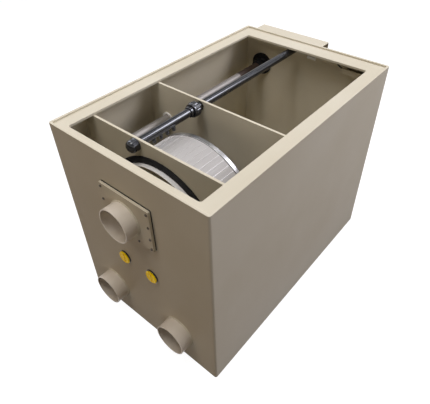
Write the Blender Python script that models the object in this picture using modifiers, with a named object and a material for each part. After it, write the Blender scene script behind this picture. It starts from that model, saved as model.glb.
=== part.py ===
"""Rotary drum filter tank: an open welded tank with a screen drum, its drive, spray bar and pipe stubs.

Metres, +Z up. The origin is the middle of the tank's underside; the front faces -Y and the back +Y.
"""

import math

import bmesh
import bpy
from mathutils import Vector

# Fits between pieces
GAP = 0.0003
RUN = 0.0005

# Tank of welded sheet
TANK_WIDTH = 0.600
TANK_LENGTH = 0.930
TANK_HEIGHT = 0.726
WALL = 0.008
CORNER_RADIUS = 0.0075
BASE_THICK = 0.010
FRONT_Y = -TANK_LENGTH / 2
BACK_Y = TANK_LENGTH / 2
INSIDE_X = TANK_WIDTH / 2 - WALL
INSIDE_FRONT = FRONT_Y + WALL
INSIDE_BACK = BACK_Y - WALL

# Rim flange, set a little below the top edge of the walls
LIP = 0.0055
FLANGE_THICK = 0.008
FLANGE_TOP = TANK_HEIGHT - LIP
FLANGE_UNDER = FLANGE_TOP - FLANGE_THICK
OPENING_X = (-0.247, 0.250)
OPENING_Y = (FRONT_Y + 0.028, FRONT_Y + 0.860)
OPENING_RADIUS = 0.009

# Partitions
PARTITION_THICK = 0.008
PARTITION_TOP = FLANGE_UNDER - GAP
FRONT_PARTITION = FRONT_Y + 0.113
REAR_PARTITION = FRONT_Y + 0.374
TRANSFER_X = 0.150
TRANSFER_Z = (0.060, 0.180)

# Pipe stubs, all of 110 mm pipe
PIPE_RADIUS = 0.055
PIPE_WALL = 0.0034
STUB_X = 0.150
STUB_Z = 0.124
STUB_REACH = 0.045
STUB_INSIDE = 0.004

# Waste plate on the front and the trough behind it
WASTE_Z = 0.545
WASTE_PLATE_X = (-0.095, 0.102)
WASTE_PLATE_Z = (0.475, 0.6255)
WASTE_PLATE_THICK = 0.008
WASTE_GASKET_THICK = 0.0026
WASTE_REACH = 0.055
TROUGH_PLATE_X = 0.066
TROUGH_PLATE_Z = (0.482, 0.608)
TROUGH_PLATE_THICK = 0.004
TROUGH_WALL = 0.004
TROUGH_FLOOR = 0.490
TROUGH_RIM = 0.582
TROUGH_FLOOR_X = (-0.052, 0.050)
TROUGH_RIM_X = (-0.106, 0.066)
TROUGH_END = FRONT_Y + 0.256

# Threaded ports with push-in caps on the front
PORT_X = 0.060
PORT_Z = 0.330
PORT_FLANGE_RADIUS = 0.0238
PORT_FLANGE_THICK = 0.004
PORT_BARREL_RADIUS = 0.0165
PORT_BORE_RADIUS = 0.0120
PORT_INSIDE = 0.026
PORT_NUT_THICK = 0.009
CAP_RADIUS = 0.0226
CAP_CROWN = 0.0055
CAP_PLUG = 0.013

# Drum, turning about an axis along Y
DRUM_X = 0.020
DRUM_Z = 0.450
COLLAR_RADIUS = 0.2004
COLLAR_WALL = 0.003
COLLAR_FRONT = FRONT_Y + 0.094
COLLAR_FLANGE_RADIUS = 0.212
COLLAR_FLANGE_THICK = 0.0057
GEAR_FRONT = FRONT_Y + 0.130
GEAR_WIDTH = 0.017
SCREEN_RADIUS = 0.2068
SCREEN_THICK = 0.002
DRUM_END = FRONT_Y + 0.284
BAND_RADIUS = 0.2100
BAND_WIDTH = 0.014
RIB_COUNT = 64
RIB_WIDTH = 0.004
RIB_RADIUS = 0.2086
REAR_PLATE_THICK = 0.006
HUB_RADIUS = 0.032
HUB_LENGTH = 0.044
HUB_AHEAD = 0.010
HUB_FLANGE_RADIUS = 0.060
HUB_FLANGE_THICK = 0.0055
MOUTH_HOLE_RADIUS = 0.205
SEAL_RADIUS = 0.2206
SEAL_THICK = 0.006
AXLE_RADIUS = 0.015
AXLE_AHEAD = 0.003
AXLE_BEHIND = 0.014
AXLE_FLANGE_RADIUS = 0.055
AXLE_FLANGE_THICK = 0.009
AXLE_NUT_RADIUS = 0.027
AXLE_NUT_THICK = 0.011

# Drive: a pinion on a long shaft turns the drum's gear ring
SHAFT_X = -0.216
SHAFT_Z = 0.590
SHAFT_RADIUS = 0.0155
SHAFT_BORE = 0.0130
SHAFT_END_PLAY = 0.001
GEAR_TEETH = 64
PINION_TEETH = 16
BEARING_RADIUS = 0.030
BEARING_THICK = 0.007
BUSH_BARREL = 0.0190
BUSH_FLANGE = 0.0225
BUSH_REACH = 0.004
SHAFT_FLANGE_RADIUS = 0.044
SHAFT_FLANGE_THICK = 0.0075
SHAFT_BOSS_RADIUS = 0.0225
SHAFT_BOSS_LENGTH = 0.034
GEARBOX_HALF = (0.040, 0.052)
GEARBOX_DEEP = 0.056
GEARBOX_BORE = 0.032
MOTOR_RADIUS = 0.027
MOTOR_LENGTH = 0.126
MOTOR_CROWN = 0.014
MOTOR_FLANGE = 0.010
TERMINAL_START = 0.026
TERMINAL_LENGTH = 0.052
TERMINAL_HALF = 0.019
TERMINAL_RISE = 0.026

# Motor hood, hooked over two rails on the back wall
HOOD_X = (-0.274, 0.028)
HOOD_Z = (0.505, 0.714)
HOOD_DEEP = 0.075
HOOD_WALL = 0.003
HOOD_OFF_WALL = 0.001
HOOK_RUNS = ((-0.266, -0.098), (-0.032, 0.020))
HOOK_FOOT = 0.6958
HOOK_THICK = 0.003
RAIL_LEDGE = 0.003
RAIL_DEEP = 0.011
RAIL_UPSTAND = 0.003
RAIL_TOP = 0.7055

# Spray bar over the drum and the pipe that feeds it
SPRAY_X = -0.064
SPRAY_Z = 0.694
SPRAY_RADIUS = 0.0135
SPRAY_BORE = 0.0104
SPRAY_FRONT = FRONT_Y + 0.090
SPRAY_JOIN = FRONT_Y + 0.343
SPRAY_CAP_RADIUS = 0.0195
SPRAY_CAP_FRONT = FRONT_Y + 0.082
SPRAY_CAP_BACK = FRONT_Y + 0.1115
SPRAY_CAP_DOME = 0.013
SPRAY_CAP_STEPS = 5
NOZZLE_COUNT = 5
NOZZLE_FIRST = FRONT_Y + 0.149
NOZZLE_PITCH = 0.0267
NOZZLE_RADIUS = 0.0062
NOZZLE_LENGTH = 0.017
COLLAR_RING_RADIUS = 0.0168
COLLAR_RING = (FRONT_Y + 0.321, FRONT_Y + 0.332)
NUT_RADIUS = 0.0235
NUT_LENGTH = 0.024
NUT_CHAMFER = 0.003
SUPPLY_OUTSIDE = 0.045
GROMMET_RADIUS = 0.0156
GROMMET_THICK = 0.006

# Level sensor under the rear rim
BRACKET_X = (0.150, INSIDE_X - GAP)
BRACKET_Z = (0.671, 0.690)
BRACKET_DEEP = 0.038
BRACKET_THICK = 0.004
STEM_X = 0.262
STEM_RADIUS = 0.004
STEM_HEAD_RADIUS = 0.011
STEM_HEAD_THICK = 0.010
STEM_FOOT = 0.560
STEM_STOP_RADIUS = 0.009
STEM_STOP_THICK = 0.006
FLOAT_RADIUS = 0.017
FLOAT_HEIGHT = 0.030
LEAD_RADIUS = 0.0026
CLIP_X = (-0.008, 0.028)
CLIP_Z = (0.672, 0.683)
CLIP_DEEP = 0.008

# Steps round a turned piece
FINE = 56
ROUND = 36
MEDIUM = 24
SMALL = 16

# Colour, roughness and metallic value of each finish
FINISHES = {
    "sheet": ((0.55, 0.49, 0.40), 0.50, 0.0),
    "pipe": ((0.57, 0.51, 0.42), 0.42, 0.0),
    "black": ((0.018, 0.020, 0.024), 0.32, 0.0),
    "rubber": ((0.012, 0.012, 0.013), 0.70, 0.0),
    "yellow": ((0.60, 0.33, 0.012), 0.42, 0.0),
    "white": ((0.80, 0.80, 0.78), 0.45, 0.0),
    "gear": ((0.80, 0.79, 0.75), 0.45, 0.0),
    "steel": ((0.62, 0.61, 0.59), 0.25, 1.0),
    "screen": ((0.55, 0.54, 0.52), 0.38, 1.0),
    "motor": ((0.10, 0.11, 0.12), 0.45, 0.3),
    "gearbox": ((0.42, 0.43, 0.44), 0.40, 0.8),
}

for leftover in list(bpy.data.objects):
    bpy.data.objects.remove(leftover, do_unlink=True)

parts = bpy.data.collections.new("drum_filter")
cutters = bpy.data.collections.new("cutters")
for collection in (parts, cutters):
    bpy.context.scene.collection.children.link(collection)


def dress(obj, finish):
    """Gives a piece its own material."""
    colour, roughness, metallic = FINISHES[finish]
    material = bpy.data.materials.new(f"{obj.name}_{finish}")
    material.use_nodes = True
    shader = material.node_tree.nodes["Principled BSDF"]
    shader.inputs["Base Color"].default_value = (*colour, 1.0)
    shader.inputs["Roughness"].default_value = roughness
    shader.inputs["Metallic"].default_value = metallic
    obj.data.materials.append(material)


def add(name, data, finish, location=(0, 0, 0), rotation=(0, 0, 0), parent=None):
    """Puts a piece among the parts, or, with no finish, among the cutters."""
    obj = bpy.data.objects.new(name, data)
    obj.location = location
    obj.rotation_euler = rotation
    obj.parent = parent
    if finish:
        parts.objects.link(obj)
        dress(obj, finish)
    else:
        cutters.objects.link(obj)
        obj.hide_render = True
        obj.display_type = "WIRE"
    return obj


def pivot(name, location):
    """An empty on a joint's axis that carries the pieces which move about it."""
    empty = bpy.data.objects.new(name, None)
    empty.location = location
    parts.objects.link(empty)
    return empty


def box(name, low, high, finish, parent=None):
    """A rectangular block between two corners."""
    size = Vector(high) - Vector(low)
    middle = (Vector(high) + Vector(low)) / 2
    bm = bmesh.new()
    bmesh.ops.create_cube(bm, size=1)
    bmesh.ops.scale(bm, vec=size, verts=bm.verts)
    mesh = bpy.data.meshes.new(name)
    bm.to_mesh(mesh)
    bm.free()
    return add(name, mesh, finish, middle, parent=parent)


def round_upright_edges(obj, radius, keep):
    """Rounds the upright edges of a block that lie on the side where keep is true."""
    bm = bmesh.new()
    bm.from_mesh(obj.data)
    edges = []
    for edge in bm.edges:
        a, b = (v.co for v in edge.verts)
        if abs(a.x - b.x) + abs(a.y - b.y) < 1e-6 and keep(a):
            edges.append(edge)
    bmesh.ops.bevel(bm, geom=edges, offset=radius, segments=4, affect="EDGES", profile=0.5)
    bm.to_mesh(obj.data)
    bm.free()


TURN = {"Z": (0, 0, 0), "Y": (-math.pi / 2, 0, 0), "X": (0, math.pi / 2, 0)}


def turned(name, profile, finish, centre, axis="Y", closed=False, steps=ROUND, parent=None):
    """A piece turned about an axis. The profile is (radius, distance along the axis), outer side first."""
    verts = [(radius, 0, along) for radius, along in profile]
    edges = [(i, i + 1) for i in range(len(verts) - 1)]
    if closed:
        edges.append((len(verts) - 1, 0))
    mesh = bpy.data.meshes.new(name)
    mesh.from_pydata(verts, edges, [])
    obj = add(name, mesh, finish, centre, TURN[axis], parent)
    screw = obj.modifiers.new("Turn", "SCREW")
    screw.steps = steps
    screw.render_steps = steps
    screw.use_merge_vertices = True
    screw.merge_threshold = 0.00001
    return obj


def rod(name, radius, start, end, finish, x, z, steps=ROUND, parent=None):
    """A round bar along Y."""
    profile = [(0, end), (radius, end), (radius, start), (0, start)]
    return turned(name, profile, finish, (x, 0, z), steps=steps, parent=parent)


def ring(name, inner, outer, start, end, finish, x, z, steps=ROUND, parent=None):
    """A plain ring or tube along Y."""
    profile = [(outer, end), (outer, start), (inner, start), (inner, end)]
    return turned(name, profile, finish, (x, 0, z), closed=True, steps=steps, parent=parent)


def combine(obj, others, operation):
    """Cuts the others away from a piece, or joins them to it."""
    for other in others:
        boolean = obj.modifiers.new(other.name, "BOOLEAN")
        boolean.operation = operation
        boolean.object = other
        boolean.solver = "EXACT"


def drill(obj, name, radius, x, z, start, end, steps=ROUND):
    """Cuts a round hole along Y through a piece."""
    hole = rod(f"cut_{name}", radius, start, end, None, x, z, steps)
    combine(obj, [hole], "DIFFERENCE")


def outline(name, loops, thick, finish, centre, parent=None):
    """A flat piece in the XZ plane, from closed loops of points, with its thickness along Y."""
    curve = bpy.data.curves.new(name, "CURVE")
    curve.dimensions = "2D"
    curve.fill_mode = "BOTH"
    curve.extrude = thick / 2
    for points in loops:
        spline = curve.splines.new("POLY")
        spline.points.add(len(points) - 1)
        for target, (x, z) in zip(spline.points, points):
            target.co = (x, -z, 0, 1)
        spline.use_cyclic_u = True
    return add(name, curve, finish, centre, TURN["Y"], parent)


def slab(name, points, start, end, finish):
    """A straight-sided block: a loop of points in the XZ plane, thickened along Y."""
    mesh = bpy.data.meshes.new(name)
    mesh.from_pydata([(x, start, z) for x, z in points], [], [range(len(points))])
    obj = add(name, mesh, finish)
    thicken = obj.modifiers.new("Thicken", "SOLIDIFY")
    thicken.thickness = end - start
    thicken.offset = -1
    return obj


def circle(radius, count):
    """Points on a circle in the XZ plane."""
    angles = [2 * math.pi * i / count for i in range(count)]
    return [(radius * math.cos(a), radius * math.sin(a)) for a in angles]


# Tank panels: the walls stand on the floor round the base and rise past the rim flange as a low lip
HALF = TANK_WIDTH / 2
box("base_panel", (-INSIDE_X + GAP, INSIDE_FRONT + GAP, 0),
    (INSIDE_X - GAP, INSIDE_BACK - GAP, BASE_THICK), "sheet")
front = box("front_panel", (-HALF, FRONT_Y, 0), (HALF, INSIDE_FRONT, TANK_HEIGHT), "sheet")
round_upright_edges(front, CORNER_RADIUS, lambda corner: corner.y < 0)
back = box("back_panel", (-HALF, INSIDE_BACK, 0), (HALF, BACK_Y, TANK_HEIGHT), "sheet")
round_upright_edges(back, CORNER_RADIUS, lambda corner: corner.y > 0)
for side, name in ((-1, "left_panel"), (1, "right_panel")):
    x_near, x_far = sorted((side * INSIDE_X, side * HALF))
    box(name, (x_near, INSIDE_FRONT + GAP, 0), (x_far, INSIDE_BACK - GAP, TANK_HEIGHT), "sheet")

flange = box("rim_flange", (-INSIDE_X + GAP, INSIDE_FRONT + GAP, FLANGE_UNDER),
             (INSIDE_X - GAP, INSIDE_BACK - GAP, FLANGE_TOP), "sheet")
opening = box("cut_opening", (OPENING_X[0], OPENING_Y[0], FLANGE_UNDER - WALL),
              (OPENING_X[1], OPENING_Y[1], FLANGE_TOP + WALL), None)
round_upright_edges(opening, OPENING_RADIUS, lambda corner: True)
combine(flange, [opening], "DIFFERENCE")


# Partitions: the front one holds the drum's mouth, the rear one carries the axle and a low transfer window
def partition(name, front_face):
    low = (-INSIDE_X + GAP, front_face, BASE_THICK + GAP)
    high = (INSIDE_X - GAP, front_face + PARTITION_THICK, PARTITION_TOP)
    return box(name, low, high, "sheet")


front_wall = partition("front_partition", FRONT_PARTITION)
rear_wall = partition("rear_partition", REAR_PARTITION)
FRONT_SPAN = (FRONT_PARTITION - WALL, FRONT_PARTITION + PARTITION_THICK + WALL)
REAR_SPAN = (REAR_PARTITION - WALL, REAR_PARTITION + PARTITION_THICK + WALL)
SPRAY_HOLE = SPRAY_RADIUS + RUN
drill(front_wall, "mouth", MOUTH_HOLE_RADIUS, DRUM_X, DRUM_Z, *FRONT_SPAN, FINE)
drill(front_wall, "bar_hole", SPRAY_HOLE, SPRAY_X, SPRAY_Z, *FRONT_SPAN, SMALL)
drill(rear_wall, "supply_hole", SPRAY_HOLE, SPRAY_X, SPRAY_Z, *REAR_SPAN, SMALL)
drill(rear_wall, "bush_hole", BUSH_BARREL + GAP, SHAFT_X, SHAFT_Z, *REAR_SPAN, SMALL)
drill(rear_wall, "axle_hole", AXLE_RADIUS + GAP, DRUM_X, DRUM_Z, *REAR_SPAN, MEDIUM)
window = box("cut_transfer_window", (-TRANSFER_X, REAR_SPAN[0], TRANSFER_Z[0]),
             (TRANSFER_X, REAR_SPAN[1], TRANSFER_Z[1]), None)
combine(rear_wall, [window], "DIFFERENCE")

# Pipe stubs welded through the front and back panels
FRONT_CUT = (FRONT_Y - WALL, INSIDE_FRONT + WALL)
BACK_CUT = (INSIDE_BACK - WALL, BACK_Y + WALL)
PIPE_BORE = PIPE_RADIUS - PIPE_WALL
for side, word in ((-1, "left"), (1, "right")):
    stub_x = side * STUB_X
    drill(front, f"inlet_{word}", PIPE_RADIUS + GAP, stub_x, STUB_Z, *FRONT_CUT)
    drill(back, f"outlet_{word}", PIPE_RADIUS + GAP, stub_x, STUB_Z, *BACK_CUT)
    ring(f"inlet_stub_{word}", PIPE_BORE, PIPE_RADIUS, FRONT_Y - STUB_REACH,
         INSIDE_FRONT + STUB_INSIDE, "pipe", stub_x, STUB_Z)
    ring(f"outlet_stub_{word}", PIPE_BORE, PIPE_RADIUS, INSIDE_BACK - STUB_INSIDE,
         BACK_Y + STUB_REACH, "pipe", stub_x, STUB_Z)

# Waste plate: screwed to the front over a gasket, with the waste stub through it
GASKET_FRONT = FRONT_Y - GAP - WASTE_GASKET_THICK
PLATE_BACK = GASKET_FRONT - GAP
PLATE_FRONT = PLATE_BACK - WASTE_PLATE_THICK
TROUGH_PLATE_Y = INSIDE_FRONT + STUB_INSIDE
gasket = box("waste_gasket", (WASTE_PLATE_X[0], GASKET_FRONT, WASTE_PLATE_Z[0]),
             (WASTE_PLATE_X[1], FRONT_Y - GAP, WASTE_PLATE_Z[1]), "rubber")
plate = box("waste_plate", (WASTE_PLATE_X[0], PLATE_FRONT, WASTE_PLATE_Z[0]),
            (WASTE_PLATE_X[1], PLATE_BACK, WASTE_PLATE_Z[1]), "sheet")
WASTE_CUT = (PLATE_FRONT - WALL, INSIDE_FRONT + WALL)
for piece in (front, gasket, plate):
    drill(piece, f"waste_{piece.name}", PIPE_RADIUS + GAP, 0, WASTE_Z, *WASTE_CUT)
ring("waste_stub", PIPE_BORE, PIPE_RADIUS, FRONT_Y - WASTE_REACH,
     TROUGH_PLATE_Y + TROUGH_PLATE_THICK, "pipe", 0, WASTE_Z)

# Waste trough: a folded gutter inside the drum, behind an end plate round the waste stub
end_plate = box("trough_end_plate", (-TROUGH_PLATE_X, TROUGH_PLATE_Y, TROUGH_PLATE_Z[0]),
                (TROUGH_PLATE_X, TROUGH_PLATE_Y + TROUGH_PLATE_THICK, TROUGH_PLATE_Z[1]), "sheet")
END_PLATE_SPAN = (TROUGH_PLATE_Y - WALL, TROUGH_PLATE_Y + WALL)
drill(end_plate, "trough_end", PIPE_RADIUS + GAP, 0, WASTE_Z, *END_PLATE_SPAN)
TROUGH_START = TROUGH_PLATE_Y + TROUGH_PLATE_THICK + GAP
TROUGH_INSET = 1.2 * TROUGH_WALL
trough_outside = [
    (TROUGH_RIM_X[0], TROUGH_RIM),
    (TROUGH_FLOOR_X[0], TROUGH_FLOOR),
    (TROUGH_FLOOR_X[1], TROUGH_FLOOR),
    (TROUGH_RIM_X[1], TROUGH_RIM),
]
trough_inside = [
    (TROUGH_RIM_X[0] + TROUGH_INSET, TROUGH_RIM + TROUGH_WALL),
    (TROUGH_FLOOR_X[0] + TROUGH_WALL, TROUGH_FLOOR + TROUGH_WALL),
    (TROUGH_FLOOR_X[1] - TROUGH_WALL, TROUGH_FLOOR + TROUGH_WALL),
    (TROUGH_RIM_X[1] - TROUGH_INSET, TROUGH_RIM + TROUGH_WALL),
]
trough = slab("waste_trough", trough_outside, TROUGH_START, TROUGH_END, "sheet")
trough_hollow = slab("cut_trough", trough_inside, TROUGH_START - WALL, TROUGH_END - TROUGH_WALL, None)
combine(trough, [trough_hollow], "DIFFERENCE")

# Threaded ports through the front panel, each held by a back nut and closed by a push-in cap
PORT_FACE = FRONT_Y - GAP - PORT_FLANGE_THICK
PORT_END = INSIDE_FRONT + PORT_INSIDE
NUT_FRONT = INSIDE_FRONT + GAP
CAP_BACK = PORT_FACE - GAP
PORT_PROFILE = [
    (PORT_BARREL_RADIUS, PORT_END),
    (PORT_BARREL_RADIUS, FRONT_Y - GAP),
    (PORT_FLANGE_RADIUS, FRONT_Y - GAP),
    (PORT_FLANGE_RADIUS, PORT_FACE),
    (PORT_BORE_RADIUS, PORT_FACE),
    (PORT_BORE_RADIUS, PORT_END),
]
CAP_PROFILE = [
    (0, CAP_PLUG),
    (PORT_BORE_RADIUS - RUN, CAP_PLUG),
    (PORT_BORE_RADIUS - RUN, 0),
    (CAP_RADIUS, 0),
    (CAP_RADIUS, -0.3 * CAP_CROWN),
    (0.86 * CAP_RADIUS, -0.70 * CAP_CROWN),
    (0.45 * CAP_RADIUS, -0.95 * CAP_CROWN),
    (0, -CAP_CROWN),
]
nut_loops = [circle(PORT_FLANGE_RADIUS, 8), circle(PORT_BARREL_RADIUS + GAP, MEDIUM)]
for side, word in ((-1, "left"), (1, "right")):
    port_x = side * PORT_X
    drill(front, f"port_{word}", PORT_BARREL_RADIUS + GAP, port_x, PORT_Z, *FRONT_CUT, MEDIUM)
    turned(f"port_fitting_{word}", PORT_PROFILE, "black", (port_x, 0, PORT_Z), closed=True, steps=MEDIUM)
    outline(f"port_back_nut_{word}", nut_loops, PORT_NUT_THICK, "black",
            (port_x, NUT_FRONT + PORT_NUT_THICK / 2, PORT_Z))
    turned(f"port_cap_{word}", CAP_PROFILE, "yellow", (port_x, CAP_BACK, PORT_Z), steps=MEDIUM)

# Drum: collar, gear ring, ribbed screen and rear plate turn together on the fixed axle
drum_axis = pivot("drum_axis", (DRUM_X, 0, DRUM_Z))
GEAR_BACK = GEAR_FRONT + GEAR_WIDTH
COLLAR_BACK = GEAR_FRONT - GAP
COLLAR_BORE = COLLAR_RADIUS - COLLAR_WALL
COLLAR_PROFILE = [
    (COLLAR_FLANGE_RADIUS, COLLAR_BACK),
    (COLLAR_FLANGE_RADIUS, COLLAR_BACK - COLLAR_FLANGE_THICK),
    (COLLAR_RADIUS, COLLAR_BACK - COLLAR_FLANGE_THICK),
    (COLLAR_RADIUS, COLLAR_FRONT),
    (COLLAR_BORE, COLLAR_FRONT),
    (COLLAR_BORE, COLLAR_BACK),
]
turned("drum_front_collar", COLLAR_PROFILE, "steel", (0, 0, 0), closed=True, steps=FINE, parent=drum_axis)

SHAFT_OFFSET = Vector((SHAFT_X - DRUM_X, SHAFT_Z - DRUM_Z))
PITCH_RADIUS = SHAFT_OFFSET.length * GEAR_TEETH / (GEAR_TEETH + PINION_TEETH)
PINION_PITCH_RADIUS = SHAFT_OFFSET.length - PITCH_RADIUS
MODULE = 2 * PITCH_RADIUS / GEAR_TEETH
MESH_ANGLE = math.atan2(SHAFT_OFFSET.y, SHAFT_OFFSET.x)


def teeth(count, pitch_radius, first):
    """A toothed outline: straight-sided teeth with side clearance, the first one centred at an angle."""
    step = 2 * math.pi / count
    root = pitch_radius - 1.15 * MODULE
    tip = pitch_radius + 0.85 * MODULE
    points = []
    for i in range(count):
        middle = first + i * step
        for radius, share in ((root, -0.31), (tip, -0.14), (tip, 0.14), (root, 0.31)):
            angle = middle + share * step
            points.append((radius * math.cos(angle), radius * math.sin(angle)))
    return points


gear_loop = teeth(GEAR_TEETH, PITCH_RADIUS, MESH_ANGLE + math.pi / GEAR_TEETH)
outline("drum_gear_ring", [gear_loop, circle(COLLAR_BORE, GEAR_TEETH)], GEAR_WIDTH, "gear",
        (0, (GEAR_FRONT + GEAR_BACK) / 2, 0), drum_axis)

SCREEN_START = GEAR_BACK + GAP
SCREEN_BORE = SCREEN_RADIUS - SCREEN_THICK
BAND_START = DRUM_END - BAND_WIDTH
ring("drum_rear_band", SCREEN_BORE, BAND_RADIUS, BAND_START, DRUM_END, "steel", 0, 0, FINE, drum_axis)

screen_loop = []
RIB_SHARE = RIB_WIDTH / (2 * math.pi * SCREEN_RADIUS / RIB_COUNT)
for i in range(RIB_COUNT):
    for radius, side in ((SCREEN_RADIUS, -1), (RIB_RADIUS, -1), (RIB_RADIUS, 1), (SCREEN_RADIUS, 1)):
        angle = 2 * math.pi * (i + side * RIB_SHARE / 2) / RIB_COUNT
        screen_loop.append((radius * math.cos(angle), radius * math.sin(angle)))
SCREEN_BACK = BAND_START - GAP
outline("drum_screen", [screen_loop, circle(SCREEN_BORE, RIB_COUNT)], SCREEN_BACK - SCREEN_START, "screen",
        (0, (SCREEN_START + SCREEN_BACK) / 2, 0), drum_axis)

REAR_PLATE_BACK = DRUM_END - HUB_FLANGE_THICK - GAP
REAR_PLATE_FRONT = REAR_PLATE_BACK - REAR_PLATE_THICK
ring("drum_rear_plate", HUB_RADIUS + GAP, SCREEN_BORE - GAP, REAR_PLATE_FRONT, REAR_PLATE_BACK, "steel",
     0, 0, FINE, drum_axis)
HUB_FRONT = REAR_PLATE_FRONT - HUB_AHEAD
HUB_BORE = AXLE_RADIUS + RUN
HUB_PROFILE = [
    (HUB_RADIUS, HUB_FRONT + HUB_LENGTH),
    (HUB_RADIUS, DRUM_END),
    (HUB_FLANGE_RADIUS, DRUM_END),
    (HUB_FLANGE_RADIUS, REAR_PLATE_BACK + GAP),
    (HUB_RADIUS, REAR_PLATE_BACK + GAP),
    (HUB_RADIUS, HUB_FRONT),
    (HUB_BORE, HUB_FRONT),
    (HUB_BORE, HUB_FRONT + HUB_LENGTH),
]
turned("drum_hub", HUB_PROFILE, "black", (0, 0, 0), closed=True, steps=MEDIUM, parent=drum_axis)

# Fixed axle on the rear partition, with its flange and nut, and the rubber seal round the collar
AXLE_FRONT = HUB_FRONT - AXLE_AHEAD
PARTITION_BACK = REAR_PARTITION + PARTITION_THICK
rod("drum_axle", AXLE_RADIUS, AXLE_FRONT, PARTITION_BACK + AXLE_BEHIND, "steel", DRUM_X, DRUM_Z, MEDIUM)
FLANGE_BACK = REAR_PARTITION - GAP
ring("axle_flange", AXLE_RADIUS + GAP, AXLE_FLANGE_RADIUS, FLANGE_BACK - AXLE_FLANGE_THICK, FLANGE_BACK,
     "steel", DRUM_X, DRUM_Z, MEDIUM)
NUT_START = PARTITION_BACK + GAP
outline("axle_nut", [circle(AXLE_NUT_RADIUS, 6), circle(AXLE_RADIUS + GAP, MEDIUM)], AXLE_NUT_THICK, "steel",
        (DRUM_X, NUT_START + AXLE_NUT_THICK / 2, DRUM_Z))
SEAL_BACK = FRONT_PARTITION - GAP
ring("drum_seal", COLLAR_RADIUS + RUN, SEAL_RADIUS, SEAL_BACK - SEAL_THICK, SEAL_BACK, "rubber",
     DRUM_X, DRUM_Z, FINE)

# Drive shaft along the upper left, with its pinion behind the front partition
drive_axis = pivot("drive_axis", (SHAFT_X, 0, SHAFT_Z))
BEARING_START = FRONT_PARTITION + PARTITION_THICK + GAP
SHAFT_END = BACK_Y + GEARBOX_BORE - SHAFT_END_PLAY
SHAFT_FIT = SHAFT_RADIUS + RUN
ring("drive_shaft", SHAFT_BORE, SHAFT_RADIUS, BEARING_START + SHAFT_END_PLAY, SHAFT_END, "steel", 0, 0,
     MEDIUM, drive_axis)
pinion_loop = teeth(PINION_TEETH, PINION_PITCH_RADIUS, MESH_ANGLE + math.pi)
outline("drive_pinion", [pinion_loop, circle(SHAFT_RADIUS + GAP, MEDIUM)], GEAR_WIDTH, "gear",
        (0, (GEAR_FRONT + GEAR_BACK) / 2, 0), drive_axis)
ring("shaft_front_bearing", SHAFT_FIT, BEARING_RADIUS, BEARING_START, BEARING_START + BEARING_THICK, "black",
     SHAFT_X, SHAFT_Z, MEDIUM)
BUSH_FACE = REAR_PARTITION - GAP
BUSH_PROFILE = [
    (BUSH_BARREL, PARTITION_BACK + BUSH_REACH),
    (BUSH_BARREL, BUSH_FACE),
    (BUSH_FLANGE, BUSH_FACE),
    (BUSH_FLANGE, BUSH_FACE - BUSH_REACH),
    (SHAFT_FIT, BUSH_FACE - BUSH_REACH),
    (SHAFT_FIT, PARTITION_BACK + BUSH_REACH),
]
turned("shaft_bush", BUSH_PROFILE, "gear", (SHAFT_X, 0, SHAFT_Z), closed=True, steps=SMALL)
SHAFT_FLANGE_BACK = INSIDE_BACK - GAP
SHAFT_FLANGE_FRONT = SHAFT_FLANGE_BACK - SHAFT_FLANGE_THICK
SHAFT_FLANGE_PROFILE = [
    (SHAFT_FLANGE_RADIUS, SHAFT_FLANGE_BACK),
    (SHAFT_FLANGE_RADIUS, SHAFT_FLANGE_FRONT),
    (SHAFT_BOSS_RADIUS, SHAFT_FLANGE_FRONT),
    (SHAFT_BOSS_RADIUS, SHAFT_FLANGE_FRONT - SHAFT_BOSS_LENGTH),
    (SHAFT_FIT, SHAFT_FLANGE_FRONT - SHAFT_BOSS_LENGTH),
    (SHAFT_FIT, SHAFT_FLANGE_BACK),
]
turned("shaft_flange", SHAFT_FLANGE_PROFILE, "black", (SHAFT_X, 0, SHAFT_Z), closed=True)
drill(back, "shaft_hole", SHAFT_RADIUS + 4 * RUN, SHAFT_X, SHAFT_Z, *BACK_CUT, SMALL)

# Gear motor on the outside of the back wall
gearbox = box("gearbox", (SHAFT_X - GEARBOX_HALF[0], BACK_Y + GAP, SHAFT_Z - GEARBOX_HALF[1]),
              (SHAFT_X + GEARBOX_HALF[0], BACK_Y + GEARBOX_DEEP, SHAFT_Z + GEARBOX_HALF[1]), "gearbox")
drill(gearbox, "gearbox_bore", SHAFT_FIT, SHAFT_X, SHAFT_Z, BACK_Y - WALL, BACK_Y + GEARBOX_BORE, SMALL)
MOTOR_START = SHAFT_X + GEARBOX_HALF[0] + GAP
MOTOR_Y = BACK_Y + GEARBOX_DEEP / 2
MOTOR_PROFILE = [
    (0, MOTOR_LENGTH),
    (0.55 * MOTOR_RADIUS, MOTOR_LENGTH),
    (0.90 * MOTOR_RADIUS, MOTOR_LENGTH - 0.4 * MOTOR_CROWN),
    (MOTOR_RADIUS, MOTOR_LENGTH - MOTOR_CROWN),
    (MOTOR_RADIUS, MOTOR_FLANGE),
    (1.02 * MOTOR_RADIUS, MOTOR_FLANGE),
    (1.02 * MOTOR_RADIUS, 0),
    (0, 0),
]
turned("motor", MOTOR_PROFILE, "motor", (MOTOR_START, MOTOR_Y, SHAFT_Z), axis="X", steps=MEDIUM)
TERMINAL_X = MOTOR_START + TERMINAL_START
TERMINAL_TOP = SHAFT_Z + MOTOR_RADIUS + TERMINAL_RISE
terminal_box = box("motor_terminal_box", (TERMINAL_X, MOTOR_Y - TERMINAL_HALF, SHAFT_Z),
                   (TERMINAL_X + TERMINAL_LENGTH, MOTOR_Y + TERMINAL_HALF, TERMINAL_TOP), "motor")
SADDLE_PROFILE = [(0, MOTOR_LENGTH), (MOTOR_RADIUS + GAP, MOTOR_LENGTH), (MOTOR_RADIUS + GAP, 0), (0, 0)]
saddle = turned("cut_saddle", SADDLE_PROFILE, None, (MOTOR_START, MOTOR_Y, SHAFT_Z), axis="X", steps=MEDIUM)
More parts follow.
